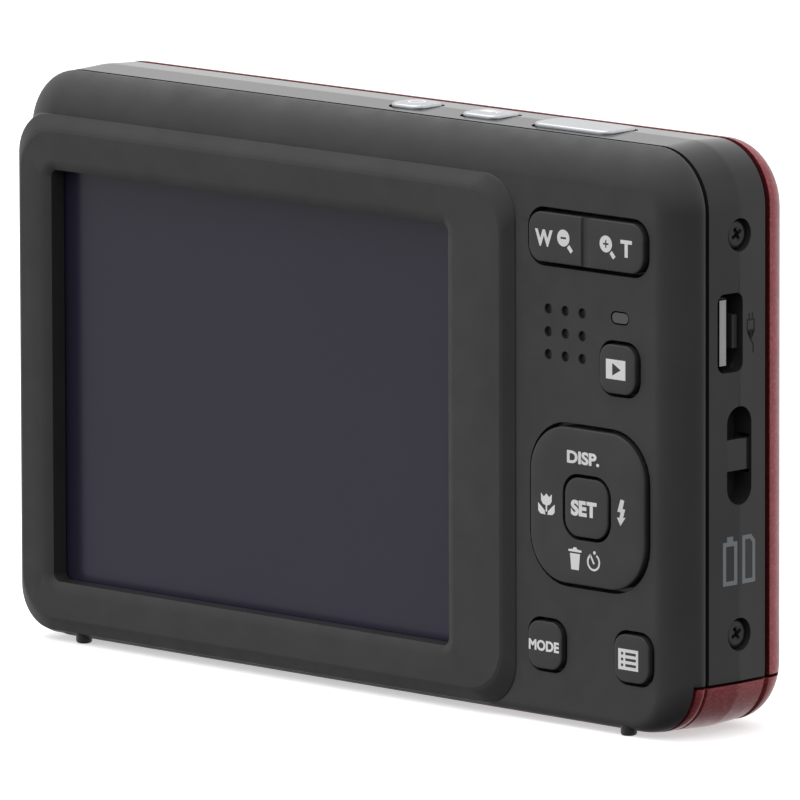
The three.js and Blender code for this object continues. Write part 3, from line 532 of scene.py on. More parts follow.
def back_edge(steps):
    """The back cover's rounded edge: (y, inset) from the groove up to the control face."""
    rise = CONTROL_FACE - BACK_JOINT
    curve = []
    for step in range(steps + 1):
        t = step / steps
        inset = 3 * t * t * (1 - t) * 0.55 * BACK_EDGE + t ** 3 * BACK_EDGE
        y = 0.45 * (1 - t) ** 3 + 3 * 1.35 * t * (1 - t) ** 2 + 3 * rise * t * t * (1 - t) + rise * t ** 3
        curve.append((BACK_JOINT + y, inset))
    return curve


def front_edge(steps):
    """The front cover's rounded edge: (y, inset) from the groove out to the front face."""
    curve = []
    for step in range(steps + 1):
        angle = step / steps * math.pi / 2
        y = FRONT_RIM - 0.1 + (FRONT_FACE - FRONT_RIM + 0.1) * math.sin(angle)
        curve.append((y, FRONT_EDGE * (1 - math.cos(angle))))
    return curve


def door_opening():
    high = (DOOR["hinge_x"] + KNUCKLE + GAP, DOOR["back"], DOOR["top"])
    return box("door_opening", (-HALF_WIDTH - 2, DOOR["front"], -1), high)


def foot(x, y):
    """A moulded foot with a rounded tip."""
    levels = [(0.0, 0.625), (0.05, 0.825), (0.16, 0.9625), (0.3, 1.0), (1.7, 1.0)]
    return loft("foot", [(z, circle(x, y, share * FOOT["radius"], 24)) for z, share in levels], "z")


# ------------ back cover


def block_section(y, climbed):
    return (
        y,
        outline(
            BLOCK["grip"] + BLOCK_SLOPE["grip"] * climbed,
            BLOCK["far"] - BLOCK_SLOPE["far"] * climbed,
            BLOCK["bottom"] + BLOCK_SLOPE["bottom"] * climbed,
            BLOCK["top"] - BLOCK_SLOPE["top"] * climbed,
            BLOCK["radius"],
            BLOCK["radius"],
        ),
    )


def screen_block():
    """A low wedge whose slope is steeper low down and rolls over into its face."""
    knots = [
        (COVER_ROOF - 0.6, 0.0),
        (CONTROL_FACE - 0.9, 0.08),
        (CONTROL_FACE + 0.1, 0.3),
        (BLOCK_FACE - 0.28, 0.7),
        (BLOCK_FACE - 0.1, 0.88),
        (BLOCK_FACE, 1.06),
    ]
    sections = []
    for (y, climbed), (next_y, next_climbed) in zip(knots, knots[1:]):
        for t in (0.0, 0.25, 0.5, 0.75):
            sections.append(block_section(y + t * (next_y - y), climbed + t * (next_climbed - climbed)))
    sections.append(block_section(*knots[-1]))
    return loft("screen_block", sections)


def window_cutter():
    throat = prism("throat", rounded(WINDOW), DISPLAY_POCKET[0][1], BLOCK_FACE + 1)
    slope = WINDOW["bevel"] / WINDOW["bevel_depth"]
    low = (BLOCK_FACE - WINDOW["bevel_depth"], rounded(WINDOW, 0))
    high = (BLOCK_FACE + 0.3, rounded(WINDOW, WINDOW["bevel"] + 0.3 * slope))
    return union(throat, loft("bevel", [low, high]))


def cover_hole(points):
    return prism("cover_hole", points, COVER_ROOF - 1, CONTROL_FACE + 1)


def small_holes():
    holes = [cover_hole(rounded(spec, spec["clear"])) for spec in (ROCKER, PLAY, PAD, MODE, MENU)]
    holes.append(cover_hole(rounded(LAMP, 0.15)))
    for column in (-1, 0, 1):
        for row in (-1, 0, 1):
            x = SPEAKER["x"] + column * SPEAKER["pitch_x"]
            z = SPEAKER["z"] + row * SPEAKER["pitch_z"]
            holes.append(cover_hole(circle(x, z, SPEAKER["hole"], 20)))
    return joined("small_holes", holes)


def back_cover():
    sections = [body_section(BACK_RIM, 0)] + [back_section(y, inset) for y, inset in back_edge(26)]
    cover = loft("back_cover_shell", sections)
    cavity = loft(
        "cavity",
        [
            body_section(BACK_RIM - 1, WALL),
            body_section(BACK_RIM + LIP_REACH + 0.3, WALL),
            body_section(COVER_ROOF, BACK_EDGE + 0.2),
        ],
    )
    pocket = box("pocket", *DISPLAY_POCKET)
    union(cover, screen_block(), foot(-FOOT["x"], FOOT["rear_y"]), foot(FOOT["x"], FOOT["rear_y"]))
    cut(cover, cavity, pocket, window_cutter(), small_holes(), door_opening())
    return show(soften(cover, 0.13), MATTE, "body", "matte_black", "back_cover")


back_cover()


def speaker_cloth():
    """The cloth seen a little way down the speaker holes."""
    at = (SPEAKER["x"], SPEAKER["z"])
    cloth = rod("speaker_cloth", "y", 3.7, CONTROL_FACE - 0.55, CONTROL_FACE - 0.42, at, 48)
    return show(soften(cloth, 0.0), BUTTON, "body", "button_black")


speaker_cloth()

# ------------ middle frame


def screw_well(side, z):
    mouth, seat = side * (HALF_WIDTH + 1), side * (HALF_WIDTH - SCREW_RECESS)
    inner = side * (HALF_WIDTH - FRAME_INSET - 1)
    well = rod("well", "x", SCREW_HOLE, *sorted((mouth, seat)), (FRAME_RIDGE, z))
    return union(well, rod("shaft", "x", SCREW_SHAFT, *sorted((inner, seat)), (FRAME_RIDGE, z), 16))


def bottom_well(x):
    well = rod("well", "z", SCREW_HOLE, -1, BODY_BOTTOM + SCREW_RECESS, (x, FRAME_RIDGE))
    return union(well, rod("shaft", "z", SCREW_SHAFT, 0, BODY_BOTTOM + FRAME_INSET + 1, (x, FRAME_RIDGE), 16))


def lug(low, high):
    """A hinge lug of the frame, between two values of y."""
    body = rod("lug", "y", LUG, low, high, (DOOR["hinge_x"], DOOR["hinge_z"]), 24)
    corner = (DOOR["hinge_x"], low, DOOR["hinge_z"] - LUG)
    return union(body, box("lug_root", corner, (DOOR["hinge_x"] + 2.2, high, DOOR["hinge_z"] + LUG)))


# The outside of the frame from its front edge over the ridge to its rear edge: (y, inset)
FRAME_OUTSIDE = [
    (FRAME_FRONT, 0.0),
    (FRAME_RIDGE - 0.25, -RIDGE_HEIGHT * 0.93),
    (FRAME_RIDGE, -RIDGE_HEIGHT),
    (FRAME_RIDGE + 0.25, -RIDGE_HEIGHT * 0.94),
    (FRAME_REAR, 0.0),
]


def mid_frame():
    front_lip = [(FRAME_FRONT - LIP_REACH, LIP_INSET), (FRAME_FRONT, LIP_INSET)]
    rear_lip = [(FRAME_REAR, LIP_INSET), (FRAME_REAR + LIP_REACH, LIP_INSET)]
    levels = front_lip + FRAME_OUTSIDE + rear_lip
    band = loft("mid_frame_band", [body_section(y, inset) for y, inset in levels])
    bore = [body_section(y, FRAME_INSET) for y in (FRAME_FRONT - 3, FRAME_REAR + 3)]
    inside = loft("inside", bore)
    cut(band, inside, door_opening())
    union(band, *[lug(low, high) for low, high in LUG_SPANS])
    grip = -HALF_WIDTH
    wells = [screw_well(side, z) for side in (-1, 1) for z in SCREW_LEVELS]
    wells += [bottom_well(x) for x in BOTTOM_SCREWS]
    wells.append(rod("pin_hole", "y", HINGE_HOLE, -3, 8, (DOOR["hinge_x"], DOOR["hinge_z"]), 20))
    wells.append(prism("usb_hole", rounded_side(USB), grip - 2, grip + FRAME_INSET + 1, "x"))
    wells.append(rod("bush_hole", "z", BUSH["radius"] + GAP, -1, 6, (BUSH["x"], BUSH["y"]), 48))
    for spec in (POWER, VIDEO, SHUTTER):
        hole = rounded_top(spec, GAP)
        wells.append(prism("button_hole", hole, BODY_TOP - FRAME_INSET - 1, BODY_TOP + 1, "z"))
    cut(band, joined("wells", wells))
    slot_end = grip + EYELET["depth"]
    slot = prism("eyelet", rounded_side(EYELET), grip - 2, slot_end, "x")
    cut(band, slot, prism("bar_seat", rounded_side(BAR, GAP), grip + 0.2, slot_end - 0.4, "x"))
    return show(soften(band, 0.1), GLOSS, "body", "gloss_black", "mid_frame")


mid_frame()


def strap_bar():
    """A rounded bar whose ends are held in the frame."""
    levels = [(0.23, -0.12), (0.25, -0.05), (0.3, -0.01), (0.4, 0.0), (1.3, 0.0)]
    grip = -HALF_WIDTH
    bar = loft("strap_bar_moulding", [(grip + x, rounded_side(BAR, grow)) for x, grow in levels], "x")
    return show(soften(bar, 0.0), GLOSS, "body", "gloss_black", "strap_bar")


strap_bar()

# ------------ front cover and battery door


def front_cover():
    sections = [body_section(y, inset, FRONT_LOSS) for y, inset in reversed(front_edge(22))]
    sections.append(body_section(FRONT_RIM, 0, FRONT_LOSS))
    cover = loft("front_cover_shell", sections)

    cavity = loft(
        "cavity",
        [
            body_section(FRONT_ROOF, 5.2),
            body_section(FRONT_ROOF + 0.7, 2.4),
            body_section(FRONT_RIM - LIP_REACH, WALL),
            body_section(FRONT_RIM + 1, WALL),
        ],
    )
    union(cover, foot(FOOT["front_x"], FOOT["front_y"]), foot(FOOT["x"], FOOT["front_y"]))
    span = (FRONT_FACE - 2, FRONT_ROOF + 1)
    lens_hole = prism("lens_hole", circle(*LENS, LENS_HOLE, 128), *span)
    flash_hole = prism("flash_hole", rounded(FLASH, 0.25), *span)
    lamp = circle(FOCUS_LAMP["x"], FOCUS_LAMP["z"], FOCUS_LAMP["radius"] + 0.2)
    holes = joined("holes", [lens_hole, flash_hole, prism("lamp_hole", lamp, *span)])
    cut(cover, cavity, holes, door_opening())
    return show(soften(cover, 0.12), RED, "body", "red_metal", "front_cover")


front_cover()


def battery_door():
    """The piece of the skin at the bottom corner of the grip, with the groove lines carried across it."""
    groove = 0.3
    front = [(y, inset) for y, inset in front_edge(22) if y > DOOR["front"] - 0.9]
    back = [(y, inset) for y, inset in back_edge(26) if y < DOOR["back"] + 0.6]
    front_groove = [(FRONT_RIM, 0.0), (FRONT_RIM + 0.1, groove), (FRAME_FRONT - 0.1, groove)]
    rear_groove = [(FRAME_REAR + 0.08, groove), (BACK_RIM - 0.08, groove)]
    grooved = front_groove + FRAME_OUTSIDE + rear_groove
    sections = [body_section(y, inset, FRONT_LOSS) for y, inset in reversed(front)]
    sections += [body_section(y, inset) for y, inset in grooved]
    sections += [back_section(y, inset) for y, inset in [(BACK_RIM, 0.0)] + back]
    door = loft("battery_door_skin", sections)
    hollow = loft(
        "hollow",
        [
            body_section(DOOR["front"] - 0.7, DOOR_SKIN + 1.2),
            body_section(FRONT_RIM - 0.6, DOOR_SKIN),
            body_section(BACK_RIM + 0.6, DOOR_SKIN),
            body_section(DOOR["back"] + 0.7, DOOR_SKIN + 0.9),
        ],
    )
    low = (-HALF_WIDTH - 1, DOOR["front"] + GAP, 0)
    region = box("region", low, (DOOR["edge"] - GAP, DOOR["back"] - GAP, DOOR["top"] - GAP))
    combine(cut(door, hollow), region, "INTERSECT")
    x, z = DOOR["hinge_x"], DOOR["hinge_z"]
    low, high = KNUCKLE_SPAN
    arm = box("arm", (DOOR["edge"] - 0.6, low, z - KNUCKLE), (x, high, z + 0.45))
    union(door, arm, rod("knuckle", "y", KNUCKLE, low, high, (x, z)))
    cut(door, rod("pin_hole", "y", HINGE_HOLE, -1, 6, (x, z), 20))
    return show(soften(door, 0.09), RED, "door", "red_metal", "battery_door")


battery_door()

# ------------ buttons


def cap_levels(face, edge, crown):
    """(y, grow) levels that round a cap's edge over and crown its face."""
    levels = []
    for step in range(7):
        angle = step / 6 * math.pi / 2
        levels.append((face - crown - edge + edge * math.sin(angle), -edge * (1 - math.cos(angle))))
    for inward, drop in ((0.25, 0.55), (0.6, 0.2), (1.1, 0.04), (1.6, 0.0)):
        levels.append((face - crown * drop, -edge - inward))
    return levels


def back_cap(name, spec, edge=0.13, crown=0.03, proud=BUTTON_PROUD, bottom=COVER_ROOF - 0.8, steps=10):
    face = CONTROL_FACE + proud
    levels = [(bottom, 0.0), (face - crown - edge - 0.05, 0.0)] + cap_levels(face, edge, crown)
    return loft(name, [(y, rounded(spec, grow, steps)) for y, grow in levels])


def flange(spec, low, high, grow=0.5):
    return prism("flange", rounded(spec, grow), low, high)


def stem(x, z, top):
    return rod("stem", "y", STEM, 6.9, top, (x, z), 20)


def button(name, spec, body, node):
    cap = back_cap(name, spec)
    ledge = flange(spec, COVER_ROOF - 1.0, COVER_ROOF - 0.35)
    union(cap, ledge, stem(spec["x"], spec["z"], COVER_ROOF - 0.9))
    return show(soften(cap, 0.04), BUTTON, body, "button_black", node)


def zoom_rocker():
    cap = back_cap("zoom_rocker_cap", ROCKER)
    x, z = ROCKER["x"], ROCKER["z"]
    union(
        cap,
        flange(ROCKER, COVER_ROOF - 1.2, COVER_ROOF - 0.6, 0.45),
        joined("stems", [stem(x - 4.5, z, COVER_ROOF - 1.1), stem(x + 4.5, z, COVER_ROOF - 1.1)]),
    )
    face = CONTROL_FACE + BUTTON_PROUD
    wall = [(-0.72, 0.3), (-0.6, 0.0), (-0.5, -0.14), (-0.38, -0.2)]
    groove = wall + [(-across, out) for across, out in reversed(wall)]
    cut(cap, prism("divider", [(x + across, face + out) for across, out in groove], z - 4, z + 4, "z"))
    return show(soften(cap, 0.05), BUTTON, "rocker", "button_black", "zoom_rocker")


def pad_ring():
    cap = back_cap("pad_ring_cap", PAD, edge=0.17, crown=0.05, bottom=COVER_ROOF - 0.4, steps=16)
    clear_of_set = rounded(SET, SET["clear"], 12)
    cut(cap, prism("opening", clear_of_set, 5, CONTROL_FACE + 2))
    return show(soften(cap, 0.05), BUTTON, "pad", "button_black", "pad_ring")


def set_button():
    cap = back_cap("set_button_cap", SET, proud=BUTTON_PROUD + 0.1, bottom=COVER_ROOF - 1.2)
    union(cap, stem(SET["x"], SET["z"], COVER_ROOF - 1.1))
    return show(soften(cap, 0.04), BUTTON, "set", "button_black", "set_button")


def top_button(name, spec, body, node):
    roof = BODY_TOP - FRAME_INSET
    shoulder, edge = TOP_BUTTON_Z - 0.32, 0.27
    levels = [(roof - 0.8, 0.0), (shoulder, 0.0)]
    for step in range(1, 7):
        angle = step / 6 * math.pi / 2
        levels.append((shoulder + edge * math.sin(angle), -edge * (1 - math.cos(angle))))
    levels += [(TOP_BUTTON_Z - 0.02, -0.6), (TOP_BUTTON_Z, -1.2)]
    cap = loft(name, [(z, rounded_top(spec, grow, 10)) for z, grow in levels], "z")
    union(
        cap,
        prism("flange", rounded_top(spec, 0.5), roof - 1.0, roof - 0.35, "z"),
        rod("stem", "z", 0.7, roof - 1.65, roof - 0.9, (spec["x"], TOP_BUTTON_Y), 20),
    )
    return show(soften(cap, 0.03), SILVER, body, "silver", node)


zoom_rocker()
button("play_button_cap", PLAY, "play", "play_button")
pad_ring()
set_button()
button("mode_button_cap", MODE, "mode", "mode_button")
button("menu_button_cap", MENU, "menu", "menu_button")
top_button("power_button_cap", POWER, "power", "power_button")
top_button("video_button_cap", VIDEO, "video", "video_button")
top_button("shutter_button_cap", SHUTTER, "shutter", "shutter_button")

# ------------ legends


def flat_piece(name, curve, matrix, material, body):
    """A thin printed piece from a flat curve, set in place by matrix."""
    holder = bpy.data.objects.new(name + "_curve", curve)
    scene.collection.objects.link(holder)
    graph = bpy.context.evaluated_depsgraph_get()
    mesh = bpy.data.meshes.new_from_object(holder.evaluated_get(graph))
    bpy.data.objects.remove(holder)
    mesh.transform(matrix)
    mesh.shade_flat()
    obj = bpy.data.objects.new(name, mesh)
    scene.collection.objects.link(obj)
    return show(obj, material, body, "legend_white")


def on_back(y):
    """Takes (right, up) seen from behind onto the plane at y."""
    return Matrix.Translation((0, y * MM, 0)) @ Matrix(
        ((-1, 0, 0, 0), (0, 0, 1, 0), (0, 1, 0, 0), (0, 0, 0, 1))
    )


def on_grip(x):
    """Takes (right, up) seen from the grip side onto the plane at x: right is towards -Y."""
    return Matrix.Translation((x * MM, 0, 0)) @ Matrix(
        ((0, 0, -1, 0), (-1, 0, 0, 0), (0, 1, 0, 0), (0, 0, 0, 1))
    )


def shape_curve(name, loops):
    """A filled flat curve; a loop inside another is a hole."""
    curve = bpy.data.curves.new(name, "CURVE")
    curve.dimensions = "2D"
    curve.fill_mode = "BOTH"
    curve.extrude = 0.6 * LEGEND_THICKNESS * MM
    for loop in loops:
        spline = curve.splines.new("POLY")
        spline.points.add(len(loop) - 1)
        for point, (u, v) in zip(spline.points, loop):
            point.co = (u * MM, v * MM, 0, 1)
        spline.use_cyclic_u = True
    return curve


def stroke(points, width):
    """The outline of a thick polyline with mitred bends."""
    half = width / 2
    left, right = [], []
    count = len(points)
    for i, (x, y) in enumerate(points):
        before = points[max(i - 1, 0)]
        after = points[min(i + 1, count - 1)]
        a = Vector((x - before[0], y - before[1])) if i else None
        b = Vector((after[0] - x, after[1] - y)) if i < count - 1 else None
        a = (a or b).normalized()
        b = (b or a).normalized()
        middle = (a + b).normalized()
        normal = Vector((-middle.y, middle.x))
        reach = half / max(0.35, normal.dot(Vector((-a.y, a.x))))
        left.append((x + normal.x * reach, y + normal.y * reach))
        right.append((x - normal.x * reach, y - normal.y * reach))
    return left + right[::-1]


def arc(u, v, radius, start, end, steps=24):
    turns = [math.radians(start + (end - start) * i / steps) for i in range(steps + 1)]
    return [(u + radius * math.cos(t), v + radius * math.sin(t)) for t in turns]


def rectangle(u, v, width, height):
    return [
        (u - width / 2, v - height / 2),
        (u + width / 2, v - height / 2),
        (u + width / 2, v + height / 2),
        (u - width / 2, v + height / 2),
    ]


def text_curve(name, letters, box_mm, weight):
    """A word, and the matrix that fits it into a (left, right, bottom, top) box."""
    left, right, bottom, top = box_mm
    curve = bpy.data.curves.new(name, "FONT")
    curve.body = letters
    curve.size = 1.0
    curve.resolution_u = 6
    curve.offset = weight
    holder = bpy.data.objects.new(name + "_measure", curve)
    scene.collection.objects.link(holder)
    bpy.context.view_layer.update()
    low, high = Vector(holder.bound_box[0]), Vector(holder.bound_box[6])
    bpy.data.objects.remove(holder)
    scale = ((right - left) * MM / (high.x - low.x), (top - bottom) * MM / (high.y - low.y))
    corner = Matrix.Translation((left * MM, bottom * MM, 0))
    place = corner @ Matrix.Diagonal((*scale, 1, 1)) @ Matrix.Translation((-low.x, -low.y, 0))
    return curve, place


def on_top(z):
    """Takes (right, away) seen by the user from above onto the plane at z."""
    return Matrix.Translation((0, 0, z * MM)) @ Matrix(
        ((-1, 0, 0, 0), (0, -1, 0, 0), (0, 0, 1, 0), (0, 0, 0, 1))
    )


CAP_FACE = CONTROL_FACE + BUTTON_PROUD
ON_CAPS = on_back(CAP_FACE + 0.002)
ON_TOP = on_top(TOP_BUTTON_Z + 0.002)
FRONT_FACET = math.atan(RIDGE_HEIGHT / (FRAME_RIDGE - FRAME_FRONT))
REAR_FACET = -math.atan(RIDGE_HEIGHT / (BACK_JOINT - FRAME_RIDGE))


def on_facet(angle):
    """Takes (right, up) seen from the grip side onto a facet of the frame; right starts at the ridge."""
    ridge = Matrix.Translation((-(HALF_WIDTH + RIDGE_HEIGHT + 0.004) * MM, FRAME_RIDGE * MM, 0))
    return ridge @ Matrix.Rotation(angle, 4, "Z") @ on_grip(0)


def word(name, letters, box_mm, body, plane=ON_CAPS, weight=0.04):
    curve, place = text_curve(name, letters, box_mm, weight)
    obj = flat_piece(name, curve, plane @ place, LEGEND, body)
    thicken = obj.modifiers.new("thickness", "SOLIDIFY")
    thicken.thickness = LEGEND_THICKNESS * MM
    thicken.offset = 0
    bake(obj).data.shade_flat()


def icon(name, loops, body, plane=ON_CAPS, material=LEGEND):
    flat_piece(name, shape_curve(name, loops), plane, material, body)


def shifted(loops, u, v):
    return [[(u + a, v + b) for a, b in loop] for loop in loops]


def magnifier(u, v, sign):
    """A filled round glass with its sign cut out, and a short handle below it on the right."""
    loops = [circle(0, 0, 0.81, 40)]
    if sign == "+":
        a, b = 0.36, 0.085
        half = [(a, -b), (a, b), (b, b), (b, a), (-b, a), (-b, b)]
        loops.append(half + [(-x, -y) for x, y in half])
    else:
        loops.append(rectangle(0, 0, 0.72, 0.2))
    loops.append(stroke([(0.64, -0.74), (1.12, -1.26)], 0.42))
    return shifted(loops, u, v)


def flower(u, v):
    """A tulip with two leaves: the close-up sign."""
    side = [(-0.36, 0.72), (-0.72, 1.05), (-0.7, 0.35), (-0.48, 0.02), (-0.1, -0.1), (-0.1, -0.7)]
    bloom = [(0.0, 1.05)] + side + [(-a, b) for a, b in reversed(side)]
    left = [(-0.14, -1.0), (-0.8, -0.95), (-1.08, -0.7), (-1.1, 0.1), (-0.6, -0.3), (-0.22, -0.62)]
    return shifted([bloom, left, [(-a, b) for a, b in left]], u, v)


def bolt(u, v):
    """A flash of lightning ending in an arrow head."""
    points = [(0.02, 1.28), (0.5, 1.2), (0.28, 0.38), (0.62, 0.36), (0.34, -0.48), (0.66, -0.42)]
    points += [(0.0, -1.28), (-0.46, -0.52), (-0.12, -0.5), (0.0, 0.02), (-0.4, 0.06)]
    return shifted([points], u, v)


def bin_sign(u, v):
    can = [(-0.66, 0.52), (-0.5, -1.05), (0.5, -1.05), (0.66, 0.52)]
    lid = [(-0.86, 0.68), (-0.86, 0.88), (-0.28, 0.94), (-0.18, 1.12)]
    lid += [(-a, b) for a, b in reversed(lid)]
    return shifted([can, lid], u, v)


def timer_sign(u, v):
    """An open dial with a hand, and a dot at its gap."""
    dial = stroke(arc(u, v - 0.1, 0.76, 62, -242, 40), 0.2)
    hand = stroke([(u + 0.06, v - 0.28), (u - 0.42, v + 0.56)], 0.2)
    return [dial, hand, circle(u + 0.12, v + 0.82, 0.17, 20)]


def power_sign(u, v):
    """A broken ring with an upright stroke in its gap."""
    return [stroke(arc(u, v, 0.78, 122, 418, 40), 0.2), rectangle(u, v + 0.62, 0.2, 0.86)]


def video_sign(u, v):
    """A box with a lens wedge beside it."""
    return [rectangle(u - 0.35, v, 1.5, 1.1), [(u + 0.52, v), (u + 1.15, v + 0.5), (u + 1.15, v - 0.5)]]


def socket_sign(u, v):
    """A plug on its cable."""
    line = 0.17
    head = [(-0.5, 0.2), (-0.5, 1.2), (0.5, 1.2), (0.5, 0.2), (-0.58, 0.2)]
    cable = [(0, 0.13), (0, -0.7), (0.35, -1.2), (0.35, -2.0)]
    pins = [rectangle(side * 0.24, 1.55, line, 0.6) for side in (-1, 1)]
    return shifted([stroke(head, line), stroke(cable, line)] + pins, u, v)


def battery_sign(u, v):
    """An upright battery cell."""
    return [rectangle(u, v, 1.9, 4.2), rectangle(u, v, 1.06, 3.36), rectangle(u, v + 2.35, 0.8, 0.5)]


def card_sign(u, v):
    """A memory card with its cut corner."""
    outside = [(-0.95, -2.1), (0.95, -2.1), (0.95, 1.9), (0.35, 2.55), (-0.95, 2.55)]
    inside = [(-0.53, -1.68), (0.53, -1.68), (0.53, 1.72), (0.16, 2.13), (-0.53, 2.13)]
    return shifted([outside, inside], u, v)


def play_sign(u, v):
    """A pointer cut out of a square."""
    return shifted([rectangle(-0.15, 0, 2.55, 1.9), [(-0.6, -0.62), (0.52, 0), (-0.6, 0.62)]], u, v)


def menu_sign(u, v):
    """A sheet with three lines of a list cut out of it."""
    loops = [rectangle(u, v, 2.62, 2.02)]
    for row in (-0.56, 0, 0.56):
        loops += [rectangle(u - 0.8, v + row, 0.3, 0.26), rectangle(u + 0.32, v + row, 1.4, 0.26)]
    return loops


def legends():
    word("legend_wide", "W", (26.15, 28.5, 46.3, 47.93), "rocker")
    icon("legend_minus", magnifier(29.9, 47.35, "-"), "rocker")
    icon("legend_plus", magnifier(35.5, 47.35, "+"), "rocker")
    word("legend_tele", "T", (37.42, 38.92, 46.3, 47.96), "rocker")
    icon("legend_play", play_sign(-PLAY["x"], PLAY["z"]), "play")
    word("legend_disp", "DISP.", (30.35, 34.6, 25.75, 27.0), "pad")
    icon("legend_flower", flower(27.62, 21.4), "pad")
    icon("legend_bolt", bolt(37.4, 21.7), "pad")
    icon("legend_bin", bin_sign(31.4, 16.55), "pad")
    icon("legend_timer", timer_sign(33.85, 16.6), "pad")
    word("legend_set", "SET", (30.95, 34.35, 20.75, 22.3), "set", on_back(CAP_FACE + 0.102), 0.05)
    word("legend_mode", "MODE", (25.25, 29.25, 7.1, 8.15), "mode")
    icon("legend_menu", menu_sign(38.4, 7.6), "menu")
    icon("legend_power", power_sign(-POWER["x"], -TOP_BUTTON_Y), "power", ON_TOP)
    icon("legend_video", video_sign(-VIDEO["x"], -TOP_BUTTON_Y), "video", ON_TOP)
    front, rear = on_facet(FRONT_FACET), on_facet(REAR_FACET)
    icon("legend_socket", socket_sign(FRAME_RIDGE - 0.7, 38.9), "body", front, LEGEND_ETCHED)
    icon("legend_battery", battery_sign(-1.3, 16.9), "body", rear, LEGEND_DIM)
    icon("legend_card", card_sign(1.3, 16.9), "body", front, LEGEND_DIM)


legends()

# ------------ screws and side fittings


def screw(name, node, matrix):
    """A cross-head screw along +X with its head's top at the origin, put in place by matrix."""
    levels = [(-0.8, 1.4), (-0.28, 1.4), (-0.14, 1.35), (-0.05, 1.2), (0.0, 0.95)]
    head = loft("head", [(x, circle(0, 0, radius, 48)) for x, radius in levels], "x")
    union(head, rod("shank", "x", 0.75, -2.3, -0.7, (0, 0), 24))
    taper = []
    for x, scale in ((-0.5, 0.55), (0.2, 1.08)):
        arm, half = 0.75 * scale, 0.2 * scale
        side = [(-arm, half), (-arm, -half), (-half, -half), (-half, -arm), (half, -arm), (half, -half)]
        taper.append((x, side + [(-a, -b) for a, b in side]))
    cut(head, loft("cross", taper, "x"))
    soften(head, 0.03)
    head.data.transform(matrix)
    head.name = name
    return show(head, DARK_STEEL, "body", "dark_steel", node)


SCREW_DEPTH = 0.25


def placed(x, z, turn, axis):
    return Matrix.Translation((x * MM, FRAME_RIDGE * MM, z * MM)) @ Matrix.Rotation(turn, 4, axis)


for level, z in zip(("upper", "lower"), SCREW_LEVELS):
    seat = HALF_WIDTH - SCREW_DEPTH
    grip_place = placed(-seat, z, math.pi, "Z") @ Matrix.Rotation(0.5, 4, "X")
    screw(f"grip_screw_{level}", f"side_screw_grip_{level}", grip_place)
    screw(f"far_screw_{level}", f"side_screw_far_{level}", placed(seat, z, 0.3, "X"))
for number, x in enumerate(BOTTOM_SCREWS, 1):
    place = placed(x, BODY_BOTTOM + SCREW_DEPTH, math.pi / 2, "Y")
    screw(f"base_screw_{number}", f"bottom_screw_{number}", place)

# ------------ lens


def trim_ring():
    profile = [(LENS_HOLE, -6.75), (LENS_HOLE, -9.05), (19.0, -9.2), (20.7, -9.2), (21.2, -9.12)]
    profile += [(21.6, -8.9), (21.9, -8.5), (22.2, -7.75), (22.4, -7.2), (22.4, -6.75)]
    return show(soften(turned("trim_ring", profile), 0.08), TRIM, "body", "red_metal", "lens_trim_ring")


def barrel(name, outer, front, back, grooves):
    """A thin tube with a rounded rim and shallow turned grooves."""
    inner = outer - BARREL_WALL
    profile = [(inner, front + 0.1), (inner + 0.1, front), (outer - 0.35, front)]
    profile += [(outer - 0.1, front + 0.12), (outer, front + 0.4)]
    for y in grooves:
        profile += [(outer, y), (outer - 0.08, y + 0.04), (outer - 0.08, y + 0.22), (outer, y + 0.26)]
    return turned(name, profile + [(outer, back), (inner, back)])


def lens_plate():
    """The flat ring round the lens opening, with a turned groove, on its two posts."""
    outline_up = [(6.3, 0.35), (6.9, 0.2), (7.9, 0), (12.2, 0), (12.3, 0.1), (12.7, 0.1), (12.8, 0)]
    outline_up += [(15.9, 0), (16.3, 0.08), (16.6, 0.4), (16.6, 0.8), (6.3, 0.8)]
    plate = turned("lens_front_plate", [(radius, LENS_FRONT + y) for radius, y in outline_up])
    posts = [rod("post", "y", 0.5, LENS_FRONT + 0.5, -9.75, at, 24) for at in POSTS]
    return union(plate, *posts)


def lens():
    trim_ring()
    outer = barrel("outer_barrel_tube", 18.5, -9.9, 1.8, (-8.8, -8.3, -2.0))
    show(soften(outer, 0.0), BARREL, "lens_outer", "barrel_grey", "outer_barrel")
    inner = barrel("inner_barrel_tube", 16.6, -10.35, 1.4, (-9.3, -8.8, -2.4))
    union(inner, turned("web", [(8.9, -9.2), (15.5, -9.2), (15.5, -8.4), (8.9, -8.4)], 128))
    show(soften(inner, 0.0), BARREL, "lens_inner", "barrel_grey", "inner_barrel")
    show(soften(lens_plate(), 0.04), BARREL, "lens_inner", "inner_black", "lens_front_ring")


lens()

# ------------ finishes of the CAD pieces that stay

FINISHES = (
    (DISPLAY, "screen_window"),
    (INNER, "lcd_panel", "lens_housing", "focus_lens_cell", "usb_tongue", "battery_bay", "flash_capacitor"),
    (STEEL, "display_plate", "zoom_motor", "usb_shell", "card_slot", "door_hinge_pin", "flash_reflector"),
    (BLADE, "barrier_blade_upper", "barrier_blade_lower"),
    (GLASS, "front_lens", "focus_lens", "image_sensor", "flash_window", "flash_tube"),
    (GREEN, "sensor_board", "main_board", "keypad_board", "top_board"),
    (WHITE, "pad_carrier"),
    (LAMP_LENS, "status_lamp"),
    (DARK_STEEL, "speaker"),
    (BATTERY, "battery", "memory_card"),
    (ORANGE, "battery_lock", "focus_lamp"),
    (BRASS, "tripod_bush"),
)
for finish, *nodes in FINISHES:
    for node in nodes:
        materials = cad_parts[node].data.materials
        materials.clear()
        materials.append(finish)

# ------------ floor, light and camera

